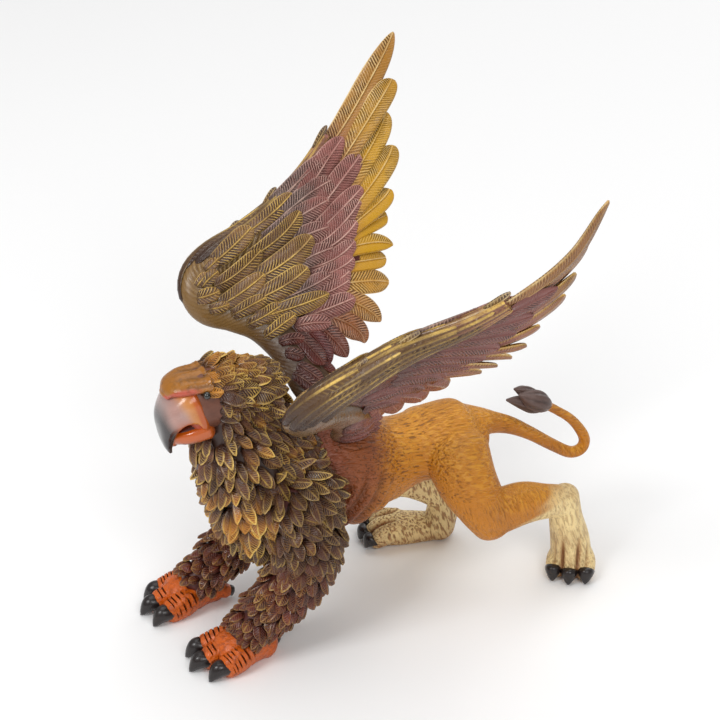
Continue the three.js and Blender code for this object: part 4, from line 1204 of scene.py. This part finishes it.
def blades(table, thick, lift, face, paint_root, paint_tip, brush, gild, *, rows, bare=0.42, rear=1.0,
           behind=None, roll=0.14, rise=None):
    """Feathers on a wing, each along the quadratic curve through the three places of its row.
    Across it the section crowns on both faces and the front vane stands higher; over the arm
    the feather drapes, unless it rises freely to its tip. A rear vane may be smoother, and the
    back of the feather painted apart."""
    table = np.asarray(table, float)
    many = len(table)

    def each(value, *wide):
        """A value for each feather, ready to spread over its rows and columns."""
        return np.broadcast_to(value, (many, *wide))[:, None, None]

    root, middle, end, width, point = np.split(table, [2, 4, 6, 7], 1)
    bend = 2 * middle - (root + end) / 2
    v = 1 - (1 - np.linspace(0, 1, rows)) ** 1.3
    down, up = v[:, None], 1 - v[:, None]
    centre = up ** 2 * root[:, None] + 2 * down * up * bend[:, None] + down ** 2 * end[:, None]
    along = unit(up * (bend - root)[:, None] + down * (end - bend)[:, None])
    half = leaf(v, 0.7, 0.6 - 0.1 * point, 3.4 - 1.8 * point, 0.45 + 0.45 * point) * (v < 1)
    half = width / 2 * half
    half[:, 0] = 0
    out = half[..., None] * BLADE_X
    p = centre[..., :1] - along[..., 1:] * out * face
    q = centre[..., 1:] + along[..., :1] * out * face
    stand = thick * BLADE_Z * (half[..., None] > 0) * np.sin(np.clip(down, 0.04, 0.96) * math.pi) ** 0.3
    if rise is None:
        layer = lift + 0.5 * (down - 0.6)
        over = bulge(p, q) + 0.1 + 0.2 * layer
        layer = (layer + over + np.sqrt((layer - over) ** 2 + 0.5)) / 2
    else:
        layer = each(rise) * down
    points = on_wing(p, q, camber(p, q) + out * face * each(roll) + face * (layer + stand))
    reach = each(np.linalg.norm(end - root, axis=1) * 1.04)
    paint = mix(each(paint_root, 3), each(paint_tip, 3), smoothstep(down, bare, bare + 0.5))
    carve = np.where(BLADE_X < 0, each(rear), 1.0)
    gold = each(gild) * (0.15 + 0.85 * carve)
    if behind is not None:
        low, high = (each(colour, 3) for colour in behind)
        paint = np.where(BEHIND[:, None], mix(low, high, smoothstep(down, 0.5, 0.75)), paint)
        carve = np.where(BEHIND, 0.45, carve)
        gold = np.where(BEHIND, 0.3, gold)
    return patch(
        points, paint=paint, vane=np.stack(np.broadcast_arrays(out, down * reach, 0), -1),
        edge=np.maximum(np.abs(BLADE_X) ** 6, smoothstep(down, 0.93, 1)), carve=carve, gild=gold,
        # deep: painted shade toward the root, under the feather before.
        deep=smoothstep(down, 0.3, 0.02) * 0.8, brush=each(brush, 3),
    )


def on_arm(s, turn, close=1.0):
    """Points on the arm's skin at shares along it and turns round it from its leading edge, and
    the outward direction there; close draws the skin in toward the arm's path."""
    p, q, wide, thick = np.moveaxis(spline(ARM, s), -1, 0)
    dp, dq = np.moveaxis(slope(np.array(ARM)[:, :2], s), -1, 0)
    out = wide * np.cos(turn) * close
    points = on_wing(p - dq * out, q + dp * out, camber(p, q) + thick * np.sin(turn) * close)
    tilt = np.cos(turn) / wide
    outward = np.stack(np.broadcast_arrays(-dq * tilt, dp * tilt, np.sin(turn) / thick), -1)
    return points, unit(outward) @ WING_AXES


def limb_pieces(colours):
    """The arm as an ellipse carried along its path, and a thin plate that backs the feathers."""
    s = np.linspace(0, 1, 100)[:, None]
    turn = np.arange(28) / 28 * 2 * math.pi
    below = -np.sin(turn)
    skin = on_arm(s, turn, (1 - np.abs(2 * s - 1) ** 24) ** 0.5)[0]
    low_rim = np.exp(-((turn - math.radians(256)) / 0.3) ** 2)
    low_rim = low_rim * smoothstep(s, 0.4, 0.47) * smoothstep(s, 0.66, 0.58)
    paint = mix(colours.rim, colours.under_brown * 0.9, smoothstep(s, 0.44, 0.26))
    for share, colour in (
        (0.7 * smoothstep(below, 0, 0.5), colours.under_brown),
        (smoothstep(below, 0.4, 0.9) * smoothstep(s, 0.4, 0.3), colours.pad), (low_rim, colours.pad),
    ):
        paint = mix(paint, colour, share)
    streaks = s * 60 + 3.2 * turn
    skin = patch(
        skin, paint=paint, vane=np.stack([0 * streaks + 3, streaks, 0 * streaks], -1),
        carve=0.1 + 0.5 * smoothstep(s, 0.5, 0.7), gild=0.3, brush=colours.pale_gold,
    )
    s, across = np.linspace(0.1, 1, 40), np.linspace(0, 1, 14)[:, None]
    inner = spline(np.array(ARM)[:, :2], s)[:, None]
    outer = spline(PLATE_EDGE, s)[:, None]
    p, q = np.moveaxis(inner * (1 - across) + outer * across, -1, 0)
    upper, lower = (on_wing(p, q, camber(p, q) + height) for height in (0.4, -0.4))
    plate = patch(np.concatenate([upper, lower[:, ::-1]], 1), paint=colours.maroon * 0.7)
    return together([skin, plate])


def upper_feathers(colours):
    """The flight feathers, and the coverts that overlap over their roots."""
    order = np.linspace(0, 1, len(FLIGHTS))

    def graded(*rows):
        """Values from the first flight feather to the last, each repeated as often as its count."""
        return spline([row for row, count in rows for _ in range(count)], order)

    half_back = mix(colours.flight_back, colours.mauve_light, 0.4)
    shells = [blades(
        FLIGHTS, 1.3, 0, 1,
        graded((colours.mauve, 5), (colours.maroon, 2)),
        graded((colours.flight_first, 1), (colours.flight, 4), (colours.flight_low, 1), (colours.rust, 1),
               (colours.maroon, 2)),
        graded((colours.pale_gold, 5), (colours.pale_rose, 2)),
        spline([0.8, 0.7, 0.75, 0.75, 0.55, 0.35, 0.2], order),
        rows=30, bare=0.0, rise=FLIGHT_RISE,
        rear=[0.2, 0.6, 0.8, 0.7, 0.1, 0.1, 0.1, 0.1, 0.9, 1, 1, 1, 1, 1],
        roll=[-0.1] + [-0.2] * 7 + [-0.1] + [0.15] * 5,
        behind=(graded((colours.flight_back, 1), (colours.mauve, 12)),
                graded((colours.flight_back, 3), (half_back, 5), (colours.mauve, 4))),
    )]
    beds = [
        (GREATER, 0.9, colours.mauve, colours.mauve_light, colours.pale_rose, 0.62, 0.75),
        (SECOND, 1.3, colours.wing_grey, colours.mauve, colours.pale_rose, 0.6, 0.9),
        (MEDIAN, 1.9, colours.wing_brown, colours.wing_gold, colours.gold, 0.75, 1),
        (LESSER, 2.4, colours.wing_brown, colours.wing_gold, colours.gold, 0.7, 1),
        (LEADING, 0.5, colours.rim, colours.wing_grey, colours.pale_gold, 0.5, 0.3),
        (ROOT_FEATHERS, 1.4, colours.maroon * 0.6, colours.maroon, colours.pale_rose, 0.35, 0.6),
    ]
    for k, (table, lift, low, high, light, gild, rear) in enumerate(beds):
        low, high = tinted(low, len(table), 40 + k, 0.1), tinted(high, len(table), 50 + k, 0.1)
        shells.append(blades(table, 1.0, lift, 1, low, high, light, gild, rows=20, rear=rear))
    return together(shells)


UNDER_ROWS = [
    (38, 0.62, 0.3), (14, 0.6, 0.3), (-10, 0.54, 0.3), (-34, 0.52, 0.3), (-58, 0.54, 1), (-82, 0.56, 1),
    (-106, 0.58, 0.3),
]  # degrees round the arm, the share along it where the row starts, and how deep the barbs are


def under_feathers(colours):
    """Broad feathers under the wing, and rows of slender ones that wrap the outer arm."""
    broad = len(UNDER_GREATER)
    roots = tinted(colours.mauve * 0.75, broad, 62, 0.06)
    tips = tinted(colours.mauve * 0.8, broad, 63, 0.06)
    shells = [blades(UNDER_GREATER, 0.8, 0.5, -1, roots, tips, colours.pale_rose, 0.1, rows=18, rear=0.3)]
    rng = np.random.default_rng(71)
    for degrees, start, carve in UNDER_ROWS:
        s = np.arange(start, 0.86, 0.085)
        s = s + rng.normal(0, 0.008, len(s))
        far = smoothstep(s, 0.72, 0.88)[:, None]
        tint = colours.under_brown * (1 - far) + colours.mauve * far
        tip = tint * 0.7 + 0.3 * (colours.wing_gold * (1 - far) + colours.mauve_light * far)
        shade = rng.normal(1, 0.1, (len(s), 1))
        turn = np.radians(degrees) + rng.normal(0, 0.08, len(s))
        width = np.interp(s, [0.5, 0.7, 0.95], [3.6, 3.2, 2])
        gild = rng.uniform(0.3, 1, len(s))
        shells.append(wrapped(s, turn, width, tint * shade, tip * shade, colours.gold, gild, carve))
    return together(shells)


def wrapped(start, turn, width, paint_root, paint_tip, brush, gild, carve, span=0.22, rows=14):
    """Slender feathers that follow the arm's skin from the share start over a span of it, at a
    turn round it; each rises from the skin to its tip and crowns to its shaft."""
    v = np.linspace(0, 1, rows)
    s = start[:, None] + span * v
    half = (width / 2)[:, None] * leaf(v, sharp=0.8) * (v < 1)
    half[:, 0] = 0
    x = half[..., None] * VANE_X
    turn = turn[:, None, None]
    wide, thick = np.moveaxis(spline(ARM, s)[..., 2:, None], 2, 0)
    radius = np.hypot(wide * np.sin(turn), thick * np.cos(turn))
    points, outward = on_arm(s[..., None] + 0 * x, turn + x / radius)
    thin = np.sin(np.clip(v, 0.02, 0.98) * math.pi) ** 0.35
    stand = (0.1 + 0.5 * v + 0.55 * VANE_Z[:, None] * thin).T
    stand = stand * (half[..., None] > 0) - 0.2 * (half[..., None] == 0)
    length, brush = np.full(len(s), span * ARM_LENGTH), np.broadcast_to(brush, (len(s), 3))
    values = plume_values(v, x, length, paint_root, paint_tip, brush, gild, carve)
    return patch(points + outward * stand[..., None], **values)


def model_wings(colours):
    """Both wings, the right one the mirror image of the left."""
    parts = {
        "limb": limb_pieces(colours), "upper_feathers": upper_feathers(colours),
        "under_feathers": under_feathers(colours),
    }
    feathered = bpy.data.materials["wing_paint"]
    for side, turned in (("left_wing", lambda piece: piece), ("right_wing", mirrored)):
        for part, piece in parts.items():
            finished(f"{side}_{part}", turned(piece), feathered, node=side)


# Stage: floor, light and camera


LAMPS = [
    ("key", (0.25, -0.8, 0.8), 0.42, 0.72), ("side", (0.9, -0.1, 0.75), 0.5, 0.5),
    ("top", (-0.25, 0.15, 1.1), 1.0, 0.6), ("rim", (-0.5, 0.7, 0.45), 0.4, 0.12),
]  # name, place and width in metres, and the share of the key's power
AIM = Vector((0, 0, 0.05))  # the place that every lamp faces
FLOOR_REACH = 3.0  # half the floor's width, in metres
FLOOR_DROP = -2e-5  # the floor's height, a hair under the soles
AZIMUTH = math.radians(65.5)  # of the camera, round from the griffin's front to its left
ELEVATION = math.radians(29.5)
STAND_OFF = [4.7, 63.6, 600]  # the camera's distance right, up and back from the grid's origin
SENSOR_WIDTH = 36
FOCAL_LENGTH = 113.1


def model_stage(stage):
    """A pale floor, even light from all round, four soft lamps and the camera."""
    scene = bpy.context.scene
    near, far = -FLOOR_REACH, FLOOR_REACH
    corners = [(x, y, FLOOR_DROP) for x, y in ((near, near), (far, near), (far, far), (near, far))]
    floor = bpy.data.objects.new("floor", bpy.data.meshes.new("floor"))
    floor.data.from_pydata(corners, [], [(0, 1, 2, 3)])
    scene.collection.objects.link(floor)
    made, tree, shader = material("pale_floor", gloss=0.6)
    tinged = tuple(0.985 * part for part in stage.floor)
    tree.links.new(blend(tree, noise(tree, 3), stage.floor, tinged), shader["Base Color"])
    floor.data.materials.append(made)

    scene.world = bpy.data.worlds.new("studio")
    scene.world.use_nodes = True
    sky = scene.world.node_tree.nodes["Background"].inputs
    sky["Color"].default_value = (1, 1, 1, 1)
    sky["Strength"].default_value = stage.fill
    scene.view_settings.view_transform = "Standard"
    for name, place, width, share in LAMPS:
        light = bpy.data.lights.new(name, "AREA")
        light.shape, light.size, light.energy = "SQUARE", width, stage.key * share
        lamp = bpy.data.objects.new(name, light)
        lamp.location = place
        lamp.rotation_euler = (AIM - Vector(place)).to_track_quat("-Z", "Y").to_euler()
        scene.collection.objects.link(lamp)

    lens = bpy.data.cameras.new("camera")
    lens.sensor_width, lens.lens = SENSOR_WIDTH, FOCAL_LENGTH
    camera = bpy.data.objects.new("camera", lens)
    camera.matrix_world = camera_frame()
    scene.collection.objects.link(camera)
    scene.camera = camera


def camera_frame():
    """The camera's placement matrix: it looks down from the griffin's front left."""
    level = math.cos(ELEVATION)
    back = np.array([math.sin(AZIMUTH) * level, -math.cos(AZIMUTH) * level, math.sin(ELEVATION)])
    right = unit(np.cross(-back, [0, 0, 1.0]))
    up = np.cross(right, -back)
    axes = np.stack([right, up, back], 1)
    eye = (axes @ STAND_OFF + [0, SHIFT, 0]) * MM
    return Matrix([*np.column_stack([axes, eye]).tolist(), (0, 0, 0, 1)])


# Properties, operators and panel


def colour_of(code, words):
    """A colour property that starts from a screen colour."""
    return bpy.props.FloatVectorProperty(
        name=words, description=f"Paint: {words.lower()}", subtype="COLOR", size=3, min=0, max=1,
        default=srgb(code),
    )


def size_of(words, description, default, least, most, unit="NONE"):
    """A size property with its range."""
    return bpy.props.FloatProperty(
        name=words, description=description, default=default, min=least, max=most, unit=unit,
    )


class GriffinSizes(bpy.types.PropertyGroup):
    """Sizes of the carving"""

    plume_length: size_of(
        "Mane feather", "Length of one feather of the mane", 0.0085, 0.004, 0.014, "LENGTH")
    plume_width: size_of(
        "Mane feather width", "Width of one feather of the mane", 0.0039, 0.002, 0.008, "LENGTH")
    barb_pitch: size_of("Barb pitch", "Distance between carved barbs, in millimetres", 0.92, 0.4, 2)
    barb_depth: size_of("Barb depth", "Depth of the carving between barbs", 0.0003, 0, 0.001, "LENGTH")
    fur_density: size_of("Fur density", "Strokes of fur to a metre", 1700, 100, 3000)


class GriffinColours(bpy.types.PropertyGroup):
    """Paints"""

    ochre: colour_of("#c47a14", "Coat ochre")
    # Straw laid where the coat faces up, as a painted top light.
    top_lit_straw: colour_of("#da9a32", "Coat straw")
    ruddy: colour_of("#80401e", "Coat by the mane")
    cream: colour_of("#f8dda0", "Belly and hocks")
    ink: colour_of("#5a3214", "Fur strokes")
    mane: colour_of("#523225", "Mane")
    # Also the neck under the mane, where it is a painted shade between the feathers.
    wash: colour_of("#24150f", "Dark wash")
    gold: colour_of("#e2bc62", "Dry-brushed gold")
    gold_orange: colour_of("#c07a28", "Orange feather tips")
    maroon: colour_of("#622820", "Maroon feathers")
    cheek: colour_of("#6a4030", "Cheek")
    cap: colour_of("#9c6218", "Cap")
    rim_red: colour_of("#b3503c", "Rim over the beak")
    beak_orange: colour_of("#b8581f", "Beak orange")
    # The beak's pink, also laid as a painted highlight over its top.
    beak_pink_and_highlight: colour_of("#aa948f", "Beak pink")
    beak_straw: colour_of("#cf8a35", "Beak border")
    beak_grey: colour_of("#7a6055", "Under the beak")
    horn: colour_of("#2e2828", "Beak tip")
    mouth: colour_of("#4a1208", "Mouth")
    foot: colour_of("#c85a0a", "Eagle feet")
    claw: colour_of("#1f1716", "Claws")
    eye: colour_of("#10140e", "Eyes")
    tuft: colour_of("#5e4a44", "Tail tuft")
    rim: colour_of("#7a5c34", "Wing rim")
    pad: colour_of("#7d6350", "Under the shoulder of the wing")
    wing_brown: colour_of("#6f513c", "Wing coverts, roots")
    wing_gold: colour_of("#86623a", "Wing coverts, tips")
    under_brown: colour_of("#523a26", "Under the wing")
    mauve: colour_of("#8a524b", "Mauve feathers")
    mauve_light: colour_of("#a2665f", "Mauve feather tips")
    wing_grey: colour_of("#6a5650", "Grey feathers")
    pale_gold: colour_of("#ecd096", "Highlight on yellow")
    pale_rose: colour_of("#d8b4a4", "Highlight on mauve")
    flight_first: colour_of("#a8752c", "First flight feather")
    flight: colour_of("#c4921e", "Flight feather tips")
    flight_back: colour_of("#946438", "Backs of the flight feathers")
    flight_low: colour_of("#c08a34", "Lower flight feather tips")
    rust: colour_of("#9a5f30", "Rust feather tips")


class GriffinStage(bpy.types.PropertyGroup):
    """Floor and light"""

    floor: bpy.props.FloatVectorProperty(
        name="Floor", description="Colour of the floor", subtype="COLOR", size=3,
        default=(0.97, 0.97, 0.97))
    fill: bpy.props.FloatProperty(
        name="Fill", description="Strength of the even light from all round", default=0.4, min=0)
    key: bpy.props.FloatProperty(
        name="Key", description="Power of the main lamp", default=7.4, min=0, unit="POWER")


def colours_of(context):
    """The paint colours as arrays, so that they can be scaled and mixed."""
    held = context.scene.griffin_colours
    names = GriffinColours.__annotations__
    return SimpleNamespace(**{name: np.array(getattr(held, name)) for name in names})


class GRIFFIN_OT_paints(bpy.types.Operator):
    """Mix the shared paints: barbs, dry brush, fur and feather materials"""

    bl_idname = "griffin.paints"
    bl_label = "Paints"

    def execute(self, context):
        sizes = context.scene.griffin_sizes
        barbs_group()
        brush_group()
        fur_group()
        pitch, depth = sizes.barb_pitch, sizes.barb_depth
        feather_material("mane_paint", 0.75 * pitch, 0.9 * depth, gloss=0.26, barbed=0.75, wash=0.85)
        feather_material("wing_paint", pitch, depth, gloss=0.28, barbed=1, wash=0.75)
        return {"FINISHED"}


class GRIFFIN_OT_lion(bpy.types.Operator):
    """Grow the lion's body, hind legs and tail, and paint the coat"""

    bl_idname = "griffin.lion"
    bl_label = "Lion body"

    def execute(self, context):
        model_lion(context.scene.griffin_sizes, colours_of(context))
        return {"FINISHED"}


class GRIFFIN_OT_claws(bpy.types.Operator):
    """Make the claws of the paws and the talons"""

    bl_idname = "griffin.claws"
    bl_label = "Claws"

    def execute(self, context):
        model_claws(colours_of(context))
        return {"FINISHED"}


class GRIFFIN_OT_tuft(bpy.types.Operator):
    """Make the tuft of the tail"""

    bl_idname = "griffin.tuft"
    bl_label = "Tail tuft"

    def execute(self, context):
        model_tuft(colours_of(context))
        return {"FINISHED"}


class GRIFFIN_OT_core(bpy.types.Operator):
    """Make the neck, cheeks and forelegs under the feathers"""

    bl_idname = "griffin.core"
    bl_label = "Neck and shanks"

    def execute(self, context):
        model_core(colours_of(context))
        return {"FINISHED"}


class GRIFFIN_OT_head(bpy.types.Operator):
    """Make the beak, the mouth, the cap and the eyes"""

    bl_idname = "griffin.head"
    bl_label = "Head"

    def execute(self, context):
        model_head(colours_of(context))
        return {"FINISHED"}


class GRIFFIN_OT_head_feathers(bpy.types.Operator):
    """Lay the feathers of the cheeks, crest, brows, beard and nape"""

    bl_idname = "griffin.head_feathers"
    bl_label = "Head feathers"

    def execute(self, context):
        model_head_feathers(colours_of(context))
        return {"FINISHED"}


class GRIFFIN_OT_mane(bpy.types.Operator):
    """Lay the feathers of the mane"""

    bl_idname = "griffin.mane"
    bl_label = "Mane"

    def execute(self, context):
        model_mane(context.scene.griffin_sizes, colours_of(context))
        return {"FINISHED"}


class GRIFFIN_OT_leg_feathers(bpy.types.Operator):
    """Lay the feathers of the forelegs"""

    bl_idname = "griffin.leg_feathers"
    bl_label = "Foreleg feathers"

    def execute(self, context):
        model_leg_feathers(colours_of(context))
        return {"FINISHED"}


class GRIFFIN_OT_feet(bpy.types.Operator):
    """Make the plated front feet"""

    bl_idname = "griffin.feet"
    bl_label = "Eagle feet"

    def execute(self, context):
        model_feet(colours_of(context))
        return {"FINISHED"}


class GRIFFIN_OT_wings(bpy.types.Operator):
    """Make both wings, their limbs and feathers"""

    bl_idname = "griffin.wings"
    bl_label = "Wings"

    def execute(self, context):
        model_wings(colours_of(context))
        return {"FINISHED"}


class GRIFFIN_OT_stage(bpy.types.Operator):
    """Lay the floor, light it softly and set the camera"""

    bl_idname = "griffin.stage"
    bl_label = "Stage"

    def execute(self, context):
        model_stage(context.scene.griffin_stage)
        return {"FINISHED"}


OPERATORS = [
    GRIFFIN_OT_paints, GRIFFIN_OT_lion, GRIFFIN_OT_claws, GRIFFIN_OT_tuft, GRIFFIN_OT_core,
    GRIFFIN_OT_head, GRIFFIN_OT_head_feathers, GRIFFIN_OT_mane, GRIFFIN_OT_leg_feathers,
    GRIFFIN_OT_feet, GRIFFIN_OT_wings, GRIFFIN_OT_stage,
]
GROUPS = {"griffin_sizes": GriffinSizes, "griffin_colours": GriffinColours, "griffin_stage": GriffinStage}


class GRIFFIN_PT_panel(bpy.types.Panel):
    """Every step of the griffin, with its sizes and colours"""

    bl_label = "Griffin"
    bl_idname = "GRIFFIN_PT_panel"
    bl_space_type = "VIEW_3D"
    bl_region_type = "UI"
    bl_category = "Griffin"

    def draw(self, context):
        for made in OPERATORS:
            self.layout.operator(made.bl_idname)
        for held, group in GROUPS.items():
            for name in group.__annotations__:
                self.layout.prop(getattr(context.scene, held), name)


CLASSES = [*GROUPS.values(), *OPERATORS, GRIFFIN_PT_panel]


def register():
    for made in CLASSES:
        bpy.utils.register_class(made)
    for name, group in GROUPS.items():
        setattr(bpy.types.Scene, name, bpy.props.PointerProperty(type=group))


def unregister():
    for name in GROUPS:
        delattr(bpy.types.Scene, name)
    for made in reversed(CLASSES):
        bpy.utils.unregister_class(made)


def main():
    register()
    bpy.ops.griffin.paints()
    bpy.ops.griffin.lion()
    bpy.ops.griffin.claws()
    bpy.ops.griffin.tuft()
    bpy.ops.griffin.core()
    bpy.ops.griffin.head()
    bpy.ops.griffin.head_feathers()
    bpy.ops.griffin.mane()
    bpy.ops.griffin.leg_feathers()
    bpy.ops.griffin.feet()
    bpy.ops.griffin.wings()
    bpy.ops.griffin.stage()


if __name__ == "__main__":
    main()
